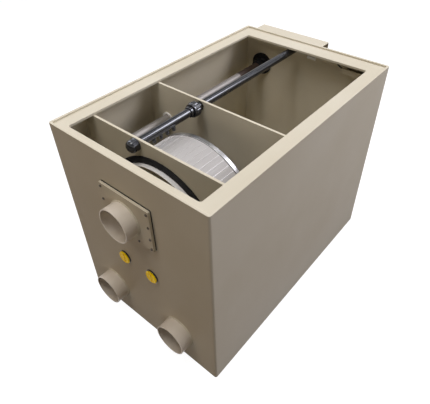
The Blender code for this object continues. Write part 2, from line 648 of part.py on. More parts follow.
combine(terminal_box, [saddle], "DIFFERENCE")

# Motor hood: a folded cover, open below and at its right end, hooked over two rails
hood_axis = pivot("hood_axis", (sum(HOOD_X) / 2, BACK_Y + HOOD_DEEP / 2, HOOD_Z[0]))
HOOD_FRONT = BACK_Y + HOOD_OFF_WALL
HOOD_BACK = BACK_Y + HOOD_DEEP


def on_hood(x, y, z):
    return Vector((x, y, z)) - hood_axis.location


hood = box("motor_hood", on_hood(HOOD_X[0], HOOD_FRONT, HOOD_Z[0]),
           on_hood(HOOD_X[1], HOOD_BACK, HOOD_Z[1]), "sheet", hood_axis)
hollow = box("cut_hood_hollow", (HOOD_X[0] + HOOD_WALL, BACK_Y - WALL, HOOD_Z[0] - WALL),
             (HOOD_X[1] + WALL, HOOD_BACK - HOOD_WALL, HOOD_Z[1] - HOOD_WALL), None)
combine(hood, [hollow], "DIFFERENCE")
for i, (start, end) in enumerate(HOOK_RUNS):
    hook = box(f"join_hook_{i}", (start, HOOD_FRONT, HOOK_FOOT),
               (end, HOOD_FRONT + HOOK_THICK, HOOD_Z[1] - HOOD_WALL / 2), None)
    combine(hood, [hook], "UNION")
RAIL_FOOT = HOOK_FOOT - GAP - RAIL_LEDGE
for (start, end), word in zip(HOOK_RUNS, ("left", "right")):
    rail = box(f"hood_rail_{word}", (start, BACK_Y + GAP, RAIL_FOOT),
               (end, BACK_Y + RAIL_DEEP, RAIL_FOOT + RAIL_LEDGE), "sheet")
    upstand = box(f"join_upstand_{word}", (start, BACK_Y + RAIL_DEEP - RAIL_UPSTAND, RAIL_FOOT),
                  (end, BACK_Y + RAIL_DEEP, RAIL_TOP), None)
    combine(rail, [upstand], "UNION")

# Spray bar: a capped pipe with nozzles over the drum, joined to its supply pipe by a union
spray_axis = pivot("spray_axis", (SPRAY_X, 0, SPRAY_Z))
PIPE_GAP = SPRAY_RADIUS + GAP
ring("spray_bar", SPRAY_BORE, SPRAY_RADIUS, SPRAY_FRONT, SPRAY_JOIN, "black", 0, 0, MEDIUM, spray_axis)
CAP_END = SPRAY_FRONT - GAP
SPRAY_CAP_PROFILE = [
    (0, CAP_END),
    (PIPE_GAP, CAP_END),
    (PIPE_GAP, SPRAY_CAP_BACK),
    (SPRAY_CAP_RADIUS, SPRAY_CAP_BACK),
]
for i in range(SPRAY_CAP_STEPS):
    lean = math.pi / 2 * i / SPRAY_CAP_STEPS
    dome_end = SPRAY_CAP_FRONT + SPRAY_CAP_DOME * (1 - math.sin(lean))
    SPRAY_CAP_PROFILE.append((SPRAY_CAP_RADIUS * math.cos(lean), dome_end))
SPRAY_CAP_PROFILE.append((0, SPRAY_CAP_FRONT))
turned("spray_end_cap", SPRAY_CAP_PROFILE, "black", (0, 0, 0), steps=MEDIUM, parent=spray_axis)
NOZZLE_TOP = -SPRAY_RADIUS - GAP
NOZZLE_PROFILE = [
    (0, NOZZLE_TOP),
    (0.80 * NOZZLE_RADIUS, NOZZLE_TOP),
    (0.80 * NOZZLE_RADIUS, NOZZLE_TOP - 0.30 * NOZZLE_LENGTH),
    (NOZZLE_RADIUS, NOZZLE_TOP - 0.35 * NOZZLE_LENGTH),
    (NOZZLE_RADIUS, NOZZLE_TOP - 0.80 * NOZZLE_LENGTH),
    (0.60 * NOZZLE_RADIUS, NOZZLE_TOP - NOZZLE_LENGTH),
    (0, NOZZLE_TOP - NOZZLE_LENGTH),
]
for i in range(NOZZLE_COUNT):
    turned(f"spray_nozzle_{i + 1}", NOZZLE_PROFILE, "black", (0, NOZZLE_FIRST + i * NOZZLE_PITCH, 0),
           axis="Z", steps=SMALL, parent=spray_axis)
ring("union_collar", PIPE_GAP, COLLAR_RING_RADIUS, *COLLAR_RING, "black", 0, 0, MEDIUM, spray_axis)

union_axis = pivot("union_axis", (SPRAY_X, 0, SPRAY_Z))
NUT_FACE = COLLAR_RING[1] + GAP
NUT_PROFILE = [
    (0.90 * NUT_RADIUS, NUT_FACE + NUT_LENGTH),
    (NUT_RADIUS, NUT_FACE + NUT_LENGTH - NUT_CHAMFER),
    (NUT_RADIUS, NUT_FACE + NUT_CHAMFER),
    (0.90 * NUT_RADIUS, NUT_FACE),
    (SPRAY_RADIUS + RUN, NUT_FACE),
    (SPRAY_RADIUS + RUN, NUT_FACE + NUT_LENGTH),
]
turned("union_nut", NUT_PROFILE, "black", (0, 0, 0), closed=True, steps=MEDIUM, parent=union_axis)
ring("supply_pipe", SPRAY_BORE, SPRAY_RADIUS, SPRAY_JOIN + GAP, BACK_Y + SUPPLY_OUTSIDE, "black",
     SPRAY_X, SPRAY_Z, MEDIUM)
drill(back, "supply_wall_hole", SPRAY_HOLE, SPRAY_X, SPRAY_Z, *BACK_CUT, SMALL)
ring("supply_grommet", PIPE_GAP, GROMMET_RADIUS, BACK_Y + GAP, BACK_Y + GAP + GROMMET_THICK, "rubber",
     SPRAY_X, SPRAY_Z, MEDIUM)

# Level sensor: a bracket under the rear rim holds a stem with a sliding float, and its lead
BRACKET_BACK = INSIDE_BACK - GAP
BRACKET_FRONT = BRACKET_BACK - BRACKET_DEEP
bracket = box("sensor_bracket", (BRACKET_X[0], BRACKET_FRONT, BRACKET_Z[0]),
              (BRACKET_X[1], BRACKET_BACK, BRACKET_Z[1]), "sheet")
TRAY_FRONT = BRACKET_FRONT + BRACKET_THICK
TRAY_FLOOR = BRACKET_Z[0] + BRACKET_THICK
bracket_hollow = box("cut_bracket", (BRACKET_X[0] - WALL, TRAY_FRONT, TRAY_FLOOR),
                     (BRACKET_X[1] + WALL, BRACKET_BACK + WALL, BRACKET_Z[1] + WALL), None)
combine(bracket, [bracket_hollow], "DIFFERENCE")
STEM_Y = (TRAY_FRONT + BRACKET_BACK) / 2
STEM_TOP = TRAY_FLOOR + GAP
STEM_BORE = STEM_RADIUS + GAP
HOLE_PROFILE = [
    (0, TRAY_FLOOR + WALL),
    (STEM_BORE, TRAY_FLOOR + WALL),
    (STEM_BORE, BRACKET_Z[0] - WALL),
    (0, BRACKET_Z[0] - WALL),
]
stem_hole = turned("cut_stem_hole", HOLE_PROFILE, None, (STEM_X, STEM_Y, 0), axis="Z", steps=SMALL)
combine(bracket, [stem_hole], "DIFFERENCE")
STEM_PROFILE = [
    (0, STEM_TOP + STEM_HEAD_THICK),
    (STEM_HEAD_RADIUS, STEM_TOP + STEM_HEAD_THICK),
    (STEM_HEAD_RADIUS, STEM_TOP),
    (STEM_RADIUS, STEM_TOP),
    (STEM_RADIUS, STEM_FOOT + STEM_STOP_THICK),
    (STEM_STOP_RADIUS, STEM_FOOT + STEM_STOP_THICK),
    (STEM_STOP_RADIUS, STEM_FOOT),
    (0, STEM_FOOT),
]
turned("sensor_stem", STEM_PROFILE, "black", (STEM_X, STEM_Y, 0), axis="Z", steps=SMALL)
float_axis = pivot("float_axis", (STEM_X, STEM_Y, STEM_FOOT))
FLOAT_FOOT = STEM_STOP_THICK + GAP
FLOAT_BORE = STEM_RADIUS + RUN
FLOAT_PROFILE = [
    (0.80 * FLOAT_RADIUS, FLOAT_FOOT + FLOAT_HEIGHT),
    (FLOAT_RADIUS, FLOAT_FOOT + 0.85 * FLOAT_HEIGHT),
    (FLOAT_RADIUS, FLOAT_FOOT + 0.15 * FLOAT_HEIGHT),
    (0.80 * FLOAT_RADIUS, FLOAT_FOOT),
    (FLOAT_BORE, FLOAT_FOOT),
    (FLOAT_BORE, FLOAT_FOOT + FLOAT_HEIGHT),
]
turned("sensor_float", FLOAT_PROFILE, "white", (0, 0, 0), axis="Z", closed=True, steps=SMALL,
       parent=float_axis)

# The sensor's lead lies in the bracket's tray and rises to the back wall
LEAD_Z = TRAY_FLOOR + GAP + LEAD_RADIUS
LEAD_WALL_Y = INSIDE_BACK - 2 * GAP
lead_route = [
    Vector((STEM_X - STEM_HEAD_RADIUS - GAP, STEM_Y, LEAD_Z)),
    Vector((0.225, STEM_Y, LEAD_Z)),
    Vector((0.190, STEM_Y, LEAD_Z)),
    Vector((0.168, STEM_Y, LEAD_Z)),
    Vector((0.154, STEM_Y, LEAD_Z)),
    Vector((0.142, STEM_Y, LEAD_Z + 0.002)),
    Vector((0.130, STEM_Y + 0.001, LEAD_Z + 0.007)),
    Vector((0.120, STEM_Y + 0.005, LEAD_Z + 0.012)),
    Vector((0.115, LEAD_WALL_Y - 0.006, LEAD_Z + 0.014)),
    Vector((0.115, LEAD_WALL_Y, LEAD_Z + 0.014)),
]


def smooth_route(points, pieces):
    """Points on a smooth curve through a route, a few to each stretch."""
    last = len(points) - 1
    found = []
    for i in range(last):
        here, there = points[i], points[i + 1]
        leave = (there - points[max(i - 1, 0)]) / 2
        arrive = (points[min(i + 2, last)] - here) / 2
        for k in range(pieces):
            t = k / pieces
            near = 2 * t ** 3 - 3 * t ** 2 + 1
            bend = (t ** 3 - 2 * t ** 2 + t) * leave + (t ** 3 - t ** 2) * arrive
            found.append(near * here + (1 - near) * there + bend)
    return found + [points[-1]]


lead = bpy.data.curves.new("sensor_lead", "CURVE")
lead.dimensions = "3D"
lead.bevel_depth = LEAD_RADIUS
lead.bevel_resolution = 1
lead.use_fill_caps = True
lead_points = smooth_route(lead_route, 2)
lead_line = lead.splines.new("POLY")
lead_line.points.add(len(lead_points) - 1)
for target, point in zip(lead_line.points, lead_points):
    target.co = (*point, 1)
add("sensor_lead", lead, "black")
box("cable_clip", (CLIP_X[0], INSIDE_BACK - GAP - CLIP_DEEP, CLIP_Z[0]),
    (CLIP_X[1], INSIDE_BACK - GAP, CLIP_Z[1]), "white")
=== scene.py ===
import math

import bmesh
import bpy
from mathutils import Matrix, Vector


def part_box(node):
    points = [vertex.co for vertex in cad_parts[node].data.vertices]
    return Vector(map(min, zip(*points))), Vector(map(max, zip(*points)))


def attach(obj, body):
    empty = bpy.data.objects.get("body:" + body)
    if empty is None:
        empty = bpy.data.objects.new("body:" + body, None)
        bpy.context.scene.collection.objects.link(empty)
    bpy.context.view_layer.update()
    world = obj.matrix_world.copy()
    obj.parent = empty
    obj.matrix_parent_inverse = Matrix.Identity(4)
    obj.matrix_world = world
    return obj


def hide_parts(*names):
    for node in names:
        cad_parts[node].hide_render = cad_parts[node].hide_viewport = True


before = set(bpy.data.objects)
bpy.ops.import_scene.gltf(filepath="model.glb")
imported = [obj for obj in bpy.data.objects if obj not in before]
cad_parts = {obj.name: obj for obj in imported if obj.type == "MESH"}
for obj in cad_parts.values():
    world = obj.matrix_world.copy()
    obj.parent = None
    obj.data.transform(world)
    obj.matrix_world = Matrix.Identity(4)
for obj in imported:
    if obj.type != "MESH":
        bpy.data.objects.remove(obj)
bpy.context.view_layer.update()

# The photograph's camera: a wide view from the front right, well above the rim, fitted to the tank's
# straight edges. Lens and shift belong to a picture of 430 x 404 pixels.
scene = bpy.context.scene
scene.view_settings.view_transform = "Standard"
camera = bpy.data.objects.new("photo_camera", bpy.data.cameras.new("photo_camera"))
camera.location = (0.7459, -0.9463, 1.3818)
camera.rotation_euler = [math.radians(angle) for angle in (49.686, 0.468, 39.508)]
camera.data.lens = 36.373
camera.data.shift_x = -0.02203
camera.data.shift_y = -0.04691
scene.collection.objects.link(camera)
scene.camera = camera


# The studio: a wide pale floor under the tank, a surround that is white round about and darker overhead,
# and soft lamps. The floor and the surround look white in the picture and give the tank only a weak bounce.
def srgb(red, green, blue):
    """A colour as a picture shows it, 0 to 255, in the shader's own scale."""
    shares = (red / 255, green / 255, blue / 255)
    return tuple(((v + 0.055) / 1.055) ** 2.4 if v > 0.04 else v / 12.92 for v in shares)


def seen_directly(tree):
    """1 on rays from the camera, from gloss and through glass, and 0 on the rays that light the object."""
    path = tree.nodes.new("ShaderNodeLightPath")
    total = path.outputs["Is Camera Ray"]
    for name in ("Is Glossy Ray", "Is Transmission Ray"):
        either = tree.nodes.new("ShaderNodeMath")
        either.operation = "MAXIMUM"
        tree.links.new(total, either.inputs[0])
        tree.links.new(path.outputs[name], either.inputs[1])
        total = either.outputs[0]
    return total


FLOOR_BOUNCE = srgb(90, 71, 50)
FLOOR_PAPER = (0.20, 0.20, 0.20)
FLOOR_GLOW = 0.96


def floor_material():
    """White with the tank's shadow to look at, and dim brown to the light that bounces off it."""
    material = bpy.data.materials.new("studio_floor")
    material.use_nodes = True
    material.cycles.emission_sampling = "NONE"
    tree = material.node_tree
    tree.nodes.clear()
    bounce = tree.nodes.new("ShaderNodeBsdfDiffuse")
    bounce.inputs["Color"].default_value = (*FLOOR_BOUNCE, 1)
    paper = tree.nodes.new("ShaderNodeBsdfDiffuse")
    paper.inputs["Color"].default_value = (*FLOOR_PAPER, 1)
    glow = tree.nodes.new("ShaderNodeEmission")
    glow.inputs["Strength"].default_value = FLOOR_GLOW
    white = tree.nodes.new("ShaderNodeAddShader")
    tree.links.new(paper.outputs[0], white.inputs[0])
    tree.links.new(glow.outputs[0], white.inputs[1])
    choose = tree.nodes.new("ShaderNodeMixShader")
    tree.links.new(seen_directly(tree), choose.inputs[0])
    tree.links.new(bounce.outputs[0], choose.inputs[1])
    tree.links.new(white.outputs[0], choose.inputs[2])
    output = tree.nodes.new("ShaderNodeOutputMaterial")
    tree.links.new(choose.outputs[0], output.inputs["Surface"])
    return material


FLOOR_HALF = 7.0
FLOOR_BELOW = 0.0004
floor_mesh = bpy.data.meshes.new("studio_floor")
floor_bm = bmesh.new()
bmesh.ops.create_grid(floor_bm, x_segments=1, y_segments=1, size=FLOOR_HALF)
floor_bm.to_mesh(floor_mesh)
floor_bm.free()
floor_mesh.materials.append(floor_material())
floor = bpy.data.objects.new("studio_floor", floor_mesh)
floor.location.z = -FLOOR_BELOW
scene.collection.objects.link(floor)

AMBIENT = 0.04
SURROUND_FADE = {"From Min": 0.30, "From Max": 0.58, "To Min": 1.0, "To Max": 0.22}
world = bpy.data.worlds.new("studio")
scene.world = world
world.use_nodes = True
world_tree = world.node_tree
world_tree.nodes.clear()
ambient = world_tree.nodes.new("ShaderNodeBackground")
ambient.inputs["Strength"].default_value = AMBIENT
surround = world_tree.nodes.new("ShaderNodeBackground")
surround.inputs["Color"].default_value = (1, 1, 1, 1)
heading = world_tree.nodes.new("ShaderNodeTexCoord")
heading_split = world_tree.nodes.new("ShaderNodeSeparateXYZ")
world_tree.links.new(heading.outputs["Generated"], heading_split.inputs[0])
overhead = world_tree.nodes.new("ShaderNodeMapRange")
for socket, value in SURROUND_FADE.items():
    overhead.inputs[socket].default_value = value
world_tree.links.new(heading_split.outputs["Z"], overhead.inputs["Value"])
world_tree.links.new(overhead.outputs["Result"], surround.inputs["Strength"])
world_choose = world_tree.nodes.new("ShaderNodeMixShader")
world_tree.links.new(seen_directly(world_tree), world_choose.inputs[0])
world_tree.links.new(ambient.outputs[0], world_choose.inputs[1])
world_tree.links.new(surround.outputs[0], world_choose.inputs[2])
world_output = world_tree.nodes.new("ShaderNodeOutputWorld")
world_tree.links.new(world_choose.outputs[0], world_output.inputs["Surface"])


def lamp(name, place, aim, size, power, colour):
    """A soft rectangular lamp that points at a place."""
    light = bpy.data.lights.new(name, "AREA")
    light.shape = "RECTANGLE"
    light.size, light.size_y = size
    light.energy = power
    light.color = colour
    obj = bpy.data.objects.new(name, light)
    obj.location = place
    obj.rotation_euler = (Vector(aim) - Vector(place)).to_track_quat("-Z", "Y").to_euler()
    scene.collection.objects.link(obj)


lamp("overhead", (0.10, -0.72, 3.2), (0.10, -0.72, 0), (0.9, 0.95), 27, (0.940, 0.955, 1.0))
lamp("ceiling_strip", (-0.20, 0.90, 3.2), (-0.20, 0.90, 0), (0.35, 6.0), 24.5, (0.920, 0.930, 1.0))
lamp("overhead_left", (-0.72, -1.90, 3.2), (-0.72, -1.90, 0), (0.85, 1.4), 12.8, (1.0, 0.885, 0.790))
lamp("back_right", (1.60, 1.80, 2.8), (0, 0.1, 0.5), (1.0, 1.6), 60, (0.860, 0.870, 1.0))
lamp("high_left", (-2.1, 0.30, 2.6), (0, 0.2, 0.5), (1.0, 2.4), 42, (0.860, 0.890, 1.0))
lamp("window_right", (2.8, 0.50, 1.4), (0.3, 0.0, 0.4), (1.6, 1.8), 17.5, (0.857, 0.856, 1.0))
lamp("front_right", (1.2, -2.40, 0.9), (0, -0.4, 0.4), (1.0, 0.9), 5.1, (1.0, 0.980, 0.990))
lamp("front_left", (-0.9, -2.40, 0.7), (0, -0.4, 0.4), (1.2, 0.9), 2.6, (1.0, 0.620, 0.330))


# Tank wall: one strip of 8 mm grey-beige plastic sheet, bent round the four upright corners and butt
# welded, with holes sawn for the pipes and ports. It stands on the ground round the base and ends in a low
# lip.
def finish(name, colour, roughness, metallic=0.0, gloss=0.5):
    """A new material, with the values that are the same all over set on its shader."""
    material = bpy.data.materials.new(name)
    material.use_nodes = True
    shader = material.node_tree.nodes["Principled BSDF"]
    shader.inputs["Base Color"].default_value = (*colour, 1)
    shader.inputs["Roughness"].default_value = roughness
    shader.inputs["Metallic"].default_value = metallic
    shader.inputs["Specular IOR Level"].default_value = gloss
    return material


def noise(material, scale, stretch=(1, 1, 1), detail=3):
    """A cloudy pattern, so many patches to the metre, and finer along an axis that is stretched more."""
    tree = material.node_tree
    place = tree.nodes.new("ShaderNodeTexCoord")
    spread = tree.nodes.new("ShaderNodeMapping")
    spread.inputs["Scale"].default_value = stretch
    cloud = tree.nodes.new("ShaderNodeTexNoise")
    cloud.inputs["Scale"].default_value = scale
    cloud.inputs["Detail"].default_value = detail
    tree.links.new(place.outputs["Object"], spread.inputs["Vector"])
    tree.links.new(spread.outputs["Vector"], cloud.inputs["Vector"])
    return cloud.outputs["Fac"]


def spread_out(material, factor, low, high):
    """Stretches the middle of a pattern's range over a new range."""
    ranged = material.node_tree.nodes.new("ShaderNodeMapRange")
    ranged.inputs["From Min"].default_value = 0.3
    ranged.inputs["From Max"].default_value = 0.7
    ranged.inputs["To Min"].default_value = low
    ranged.inputs["To Max"].default_value = high
    material.node_tree.links.new(factor, ranged.inputs["Value"])
    return ranged.outputs["Result"]


def vary_colour(material, factor, dark, light):
    """A colour that wanders between two near shades."""
    mix = material.node_tree.nodes.new("ShaderNodeMix")
    mix.data_type = "RGBA"
    mix.inputs["A"].default_value = (*dark, 1)
    mix.inputs["B"].default_value = (*light, 1)
    material.node_tree.links.new(spread_out(material, factor, 0, 1), mix.inputs["Factor"])
    shader = material.node_tree.nodes["Principled BSDF"]
    material.node_tree.links.new(mix.outputs["Result"], shader.inputs["Base Color"])


def vary_roughness(material, factor, low, high):
    """A sheen that wanders between two values of roughness."""
    shader = material.node_tree.nodes["Principled BSDF"]
    material.node_tree.links.new(spread_out(material, factor, low, high), shader.inputs["Roughness"])


def raise_grain(material, factor, height):
    """Small bumps, as high as the given distance."""
    bump = material.node_tree.nodes.new("ShaderNodeBump")
    bump.inputs["Distance"].default_value = height
    material.node_tree.links.new(factor, bump.inputs["Height"])
    shader = material.node_tree.nodes["Principled BSDF"]
    material.node_tree.links.new(bump.outputs["Normal"], shader.inputs["Normal"])


def to_mesh(bm, name):
    """Ends a mesh: faces outwards, smooth, with edges over 40 degrees kept sharp."""
    bmesh.ops.recalc_face_normals(bm, faces=bm.faces)
    mesh = bpy.data.meshes.new(name)
    bm.to_mesh(mesh)
    bm.free()
    mesh.shade_smooth()
    mesh.set_sharp_from_angle(angle=math.radians(40))
    return mesh


def piece(name, mesh, body, slot, material, *nodes):
    """Puts a mesh on the object: the body it moves with, its finish and the solids that it stands for."""
    obj = bpy.data.objects.new(name, mesh)
    scene.collection.objects.link(obj)
    mesh.materials.append(material)
    level = obj.modifiers.new("Level faces", "WEIGHTED_NORMAL")
    level.keep_sharp = True
    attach(obj, body)
    if nodes:
        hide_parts(*nodes)


def rounded_rectangle(low, high, radius, pieces=6):
    """Corner points of a rectangle with round corners, run anticlockwise."""
    (left, foot), (right, top) = low, high
    points = []
    centres = ((right - radius, top - radius), (left + radius, top - radius),
               (left + radius, foot + radius), (right - radius, foot + radius))
    for quarter, (u, v) in enumerate(centres):
        for i in range(pieces + 1):
            angle = math.pi / 2 * (quarter + i / pieces)
            points.append((u + radius * math.cos(angle), v + radius * math.sin(angle)))
    return points


def circle(u, v, radius, count=96):
    """Points of a round outline."""
    angles = [2 * math.pi * i / count for i in range(count)]
    return [(u + radius * math.cos(a), v + radius * math.sin(a)) for a in angles]


QUARTER_TURN = Matrix.Rotation(math.pi / 2, 4, "X")


def cut_plate(name, loops, start, end, axis, edge=0.0006):
    """A plate of sheet sawn to an outline, with holes and softened edges. Loops lie across the axis."""
    curve = bpy.data.curves.new(name, "CURVE")
    curve.dimensions = "2D"
    curve.fill_mode = "BOTH"
    curve.bevel_depth = edge
    curve.bevel_resolution = 2
    curve.offset = -edge
    curve.extrude = (end - start) / 2 - edge
    for points in loops:
        spline = curve.splines.new("POLY")
        spline.points.add(len(points) - 1)
        for target, (u, v) in zip(spline.points, points):
            target.co = (u, v, 0, 1)
        spline.use_cyclic_u = True
    blank = bpy.data.objects.new(name, curve)
    scene.collection.objects.link(blank)
    flat = bpy.data.meshes.new_from_object(blank.evaluated_get(bpy.context.evaluated_depsgraph_get()))
    bpy.data.objects.remove(blank)
    bm = bmesh.new()
    bm.from_mesh(flat)
    bmesh.ops.remove_doubles(bm, verts=bm.verts, dist=0.000002)
    middle = (start + end) / 2
    if axis == "Z":
        bmesh.ops.translate(bm, vec=(0, 0, middle), verts=bm.verts)
    else:
        stand = Matrix.Translation((0, middle, 0)) @ QUARTER_TURN
        bmesh.ops.transform(bm, matrix=stand, verts=bm.verts)
    return to_mesh(bm, name)


def round_of(node):
    """Centre, radius and ends of a round solid that lies along Y."""
    low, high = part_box(node)
    return Vector(((low.x + high.x) / 2, 0, (low.z + high.z) / 2)), (high.x - low.x) / 2, low.y, high.y


def bored(mesh, holes, start, end):
    """The mesh with round holes bored through it along Y; each hole is a centre and a radius."""
    blank = bpy.data.objects.new("blank", mesh)
    scene.collection.objects.link(blank)
    drills = []
    for centre, radius in holes:
        bm = bmesh.new()
        bmesh.ops.create_cone(bm, cap_ends=True, segments=96, radius1=radius, radius2=radius,
                              depth=end - start)
        place = Matrix.Translation((centre.x, (start + end) / 2, centre.z))
        bmesh.ops.transform(bm, matrix=place @ QUARTER_TURN, verts=bm.verts)
        drills.append(bpy.data.objects.new("drill", to_mesh(bm, "drill")))
        scene.collection.objects.link(drills[-1])
        cut = blank.modifiers.new("Bore", "BOOLEAN")
        cut.operation = "DIFFERENCE"
        cut.solver = "EXACT"
        cut.object = drills[-1]
    made = bpy.data.meshes.new_from_object(blank.evaluated_get(bpy.context.evaluated_depsgraph_get()))
    for obj in (blank, *drills):
        bpy.data.objects.remove(obj)
    bm = bmesh.new()
    bm.from_mesh(made)
    return to_mesh(bm, mesh.name)


sheet = finish("welded_sheet", srgb(206, 196, 173), 0.36, gloss=0.010)
vary_colour(sheet, noise(sheet, 4, detail=5), srgb(203, 193, 169), srgb(209, 200, 178))
vary_roughness(sheet, noise(sheet, 60, detail=4), 0.28, 0.40)
raise_grain(sheet, noise(sheet, 700, detail=2), 0.00004)

WALL_CORNER = 0.0075
INNER_CORNER = 0.002
PIPE_FIT = 0.0002
SHAFT_CLEARANCE = 0.0010
PORT_HOLE = 0.72
front_low, front_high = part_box("front_panel")
back_low, back_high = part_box("back_panel")
wall = front_high.y - front_low.y
inside = ((front_low.x + wall, front_high.y), (front_high.x - wall, back_low.y))
wall_outline = rounded_rectangle((front_low.x, front_low.y), (front_high.x, back_high.y), WALL_CORNER)
wall_loops = [wall_outline, rounded_rectangle(*inside, INNER_CORNER)]
tank_wall = cut_plate("tank_wall", wall_loops, front_low.z, front_high.z, "Z", edge=0.0010)
stub_nodes = ["inlet_stub_left", "inlet_stub_right", "outlet_stub_left", "outlet_stub_right", "waste_stub"]
front_holes = []
back_holes = []
for node in stub_nodes:
    centre, radius, _, _ = round_of(node)
    (back_holes if "outlet" in node else front_holes).append((centre, radius + PIPE_FIT))
for node in ("port_fitting_left", "port_fitting_right"):
    centre, radius, _, _ = round_of(node)
    front_holes.append((centre, PORT_HOLE * radius))
for node in ("drive_shaft", "supply_pipe"):
    centre, radius, _, _ = round_of(node)
    back_holes.append((centre, radius + SHAFT_CLEARANCE))
tank_wall = bored(tank_wall, front_holes, front_low.y - wall, front_high.y + wall)
tank_wall = bored(tank_wall, back_holes, back_low.y - wall, back_high.y + wall)
piece("tank_wall", tank_wall, "tank", "sheet", sheet,
      "front_panel", "back_panel", "left_panel", "right_panel")

# Base: a thicker plate of the same sheet, let in between the walls and welded all round. The tank's weight,
# empty or full, stands on it and on the lower edges of the walls.
base_low, base_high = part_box("base_panel")
base_loop = rounded_rectangle((base_low.x, base_low.y), (base_high.x, base_high.y), INNER_CORNER)
base = cut_plate("tank_base", [base_loop], base_low.z, base_high.z, "Z")
piece("tank_base", base, "tank", "sheet", sheet, "base_panel")

# Rim: a flat frame of sheet welded just below the top edge of the walls. It stiffens the tank, ties the
# partitions together and leaves one big opening with round corners.
OPENING_LOW = (-0.247, -0.437)
OPENING_HIGH = (0.250, 0.395)
OPENING_CORNER = 0.009
rim_low, rim_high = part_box("rim_flange")
opening = rounded_rectangle(OPENING_LOW, OPENING_HIGH, OPENING_CORNER)
rim_loops = [rounded_rectangle(*inside, INNER_CORNER), opening]
rim = cut_plate("rim_frame", rim_loops, rim_low.z, rim_high.z, "Z", edge=0.0009)
piece("rim_frame", rim, "tank", "sheet", sheet, "rim_flange")

# Partitions: two sheets across the tank, welded to the walls, base and rim. The front one has the round
# drum mouth, the rear one carries the axle and has a low window for the filtered water.
WINDOW_LOW = (-0.150, 0.060)
WINDOW_HIGH = (0.150, 0.180)
WINDOW_CORNER = 0.006
MOUTH_RADIUS = 0.205
BAR_CLEARANCE = 0.0006
BUSH_BARREL = 0.0190
GAP = 0.0003
PARTITION_CORNER = 0.001
mouth_centre, _, _, _ = round_of("drum_seal")
bar_centre, bar_radius, bar_start, _ = round_of("spray_bar")
shaft_centre, shaft_radius, shaft_start, shaft_end = round_of("drive_shaft")
mouth_hole = circle(mouth_centre.x, mouth_centre.z, MOUTH_RADIUS, 160)
bar_hole = circle(bar_centre.x, bar_centre.z, bar_radius + BAR_CLEARANCE)
bush_hole = circle(shaft_centre.x, shaft_centre.z, BUSH_BARREL + GAP)
window = rounded_rectangle(WINDOW_LOW, WINDOW_HIGH, WINDOW_CORNER)
partition_holes = {"front_partition": [mouth_hole, bar_hole],
                   "rear_partition": [bar_hole, bush_hole, window]}
for node, holes in partition_holes.items():
    low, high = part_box(node)
    loops = [rounded_rectangle((low.x, low.z), (high.x, high.z), PARTITION_CORNER)] + holes
    mesh = cut_plate(node, loops, low.y, high.y, "Y", edge=0.0008)
    piece(f"{node}_sheet", mesh, "tank", "sheet", sheet, node)

# Welds: hand-laid beads of the same plastic in the inside corners, where walls, base and partitions meet. A
# hot-air tip lays them, and they keep its low ripple.
BEAD_RADIUS = 0.0022
BEAD_PITCH = 0.005
BEAD_RIPPLE = 0.10


def bead(start, end):
    """A straight weld bead with a low ripple along it."""
    start, end = Vector(start), Vector(end)
    along = (end - start).normalized()
    across = along.orthogonal().normalized()
    count = max(2, round((end - start).length / BEAD_PITCH) * 2)
    bm = bmesh.new()
    rings = []
    for i in range(count + 1):
        swell = BEAD_RADIUS * (1 + BEAD_RIPPLE * (-1) ** i)
        middle = start.lerp(end, i / count)
        ring = [middle + swell * (Matrix.Rotation(math.pi / 4 * k, 3, along) @ across) for k in range(8)]
        rings.append([bm.verts.new(point) for point in ring])
    for near, far in zip(rings, rings[1:]):
        for k in range(8):
            bm.faces.new((near[k], near[(k + 1) % 8], far[(k + 1) % 8], far[k]))
    bm.faces.new(rings[0])
    bm.faces.new(rings[-1])
    return to_mesh(bm, "weld")


def welds(name, runs):
    """Several beads as one piece."""
    bm = bmesh.new()
    for start, end in runs:
        bm.from_mesh(bead(start, end))
    piece(name, to_mesh(bm, name), "tank", "sheet", sheet)


(inner_left, inner_front), (inner_right, inner_back) = inside
upright_runs = []
floor_runs = []
weld_foot = base_high.z
weld_top = rim_low.z
for x in (inner_left, inner_right):
    for y in (inner_front, inner_back):
        upright_runs.append(((x, y, weld_foot), (x, y, weld_top)))
for node in ("front_partition", "rear_partition"):
    low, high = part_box(node)
    for y in (low.y, high.y):
        for x in (inner_left, inner_right):
            upright_runs.append(((x, y, weld_foot), (x, y, weld_top)))
        floor_runs.append(((inner_left, y, weld_foot), (inner_right, y, weld_foot)))
for y in (inner_front, inner_back):
    floor_runs.append(((inner_left, y, weld_foot), (inner_right, y, weld_foot)))
for x in (inner_left, inner_right):
    floor_runs.append(((x, inner_front, weld_foot), (x, inner_back, weld_foot)))
welds("upright_welds", upright_runs)
welds("floor_welds", floor_runs)


# Pipe stubs: short lengths of 110 mm pipe pushed through the walls, two low on the front and two low on the
# back, each with a bead welded round its root. Their mouths are cut square and lightly deburred.
def softened(profile, radius, closed=True, pieces=3):
    """A profile with its corners rounded; an open profile keeps its two ends."""
    count = len(profile)
    points = []
    for i, corner in enumerate(profile):
        if not closed and i in (0, count - 1):
            points.append(corner)
            continue
        here = Vector(corner)
        before, after = Vector(profile[i - 1]) - here, Vector(profile[(i + 1) % count]) - here
        reach = min(radius, 0.45 * before.length, 0.45 * after.length)
        first, last = here + before.normalized() * reach, here + after.normalized() * reach
        for k in range(pieces + 1):
            t = k / pieces
            points.append(tuple((1 - t) ** 2 * first + 2 * t * (1 - t) * here + t ** 2 * last))
    return points


LIE_ALONG = {"X": lambda c, s, d: (d, c, s), "Y": lambda c, s, d: (c, d, s), "Z": lambda c, s, d: (c, s, d)}


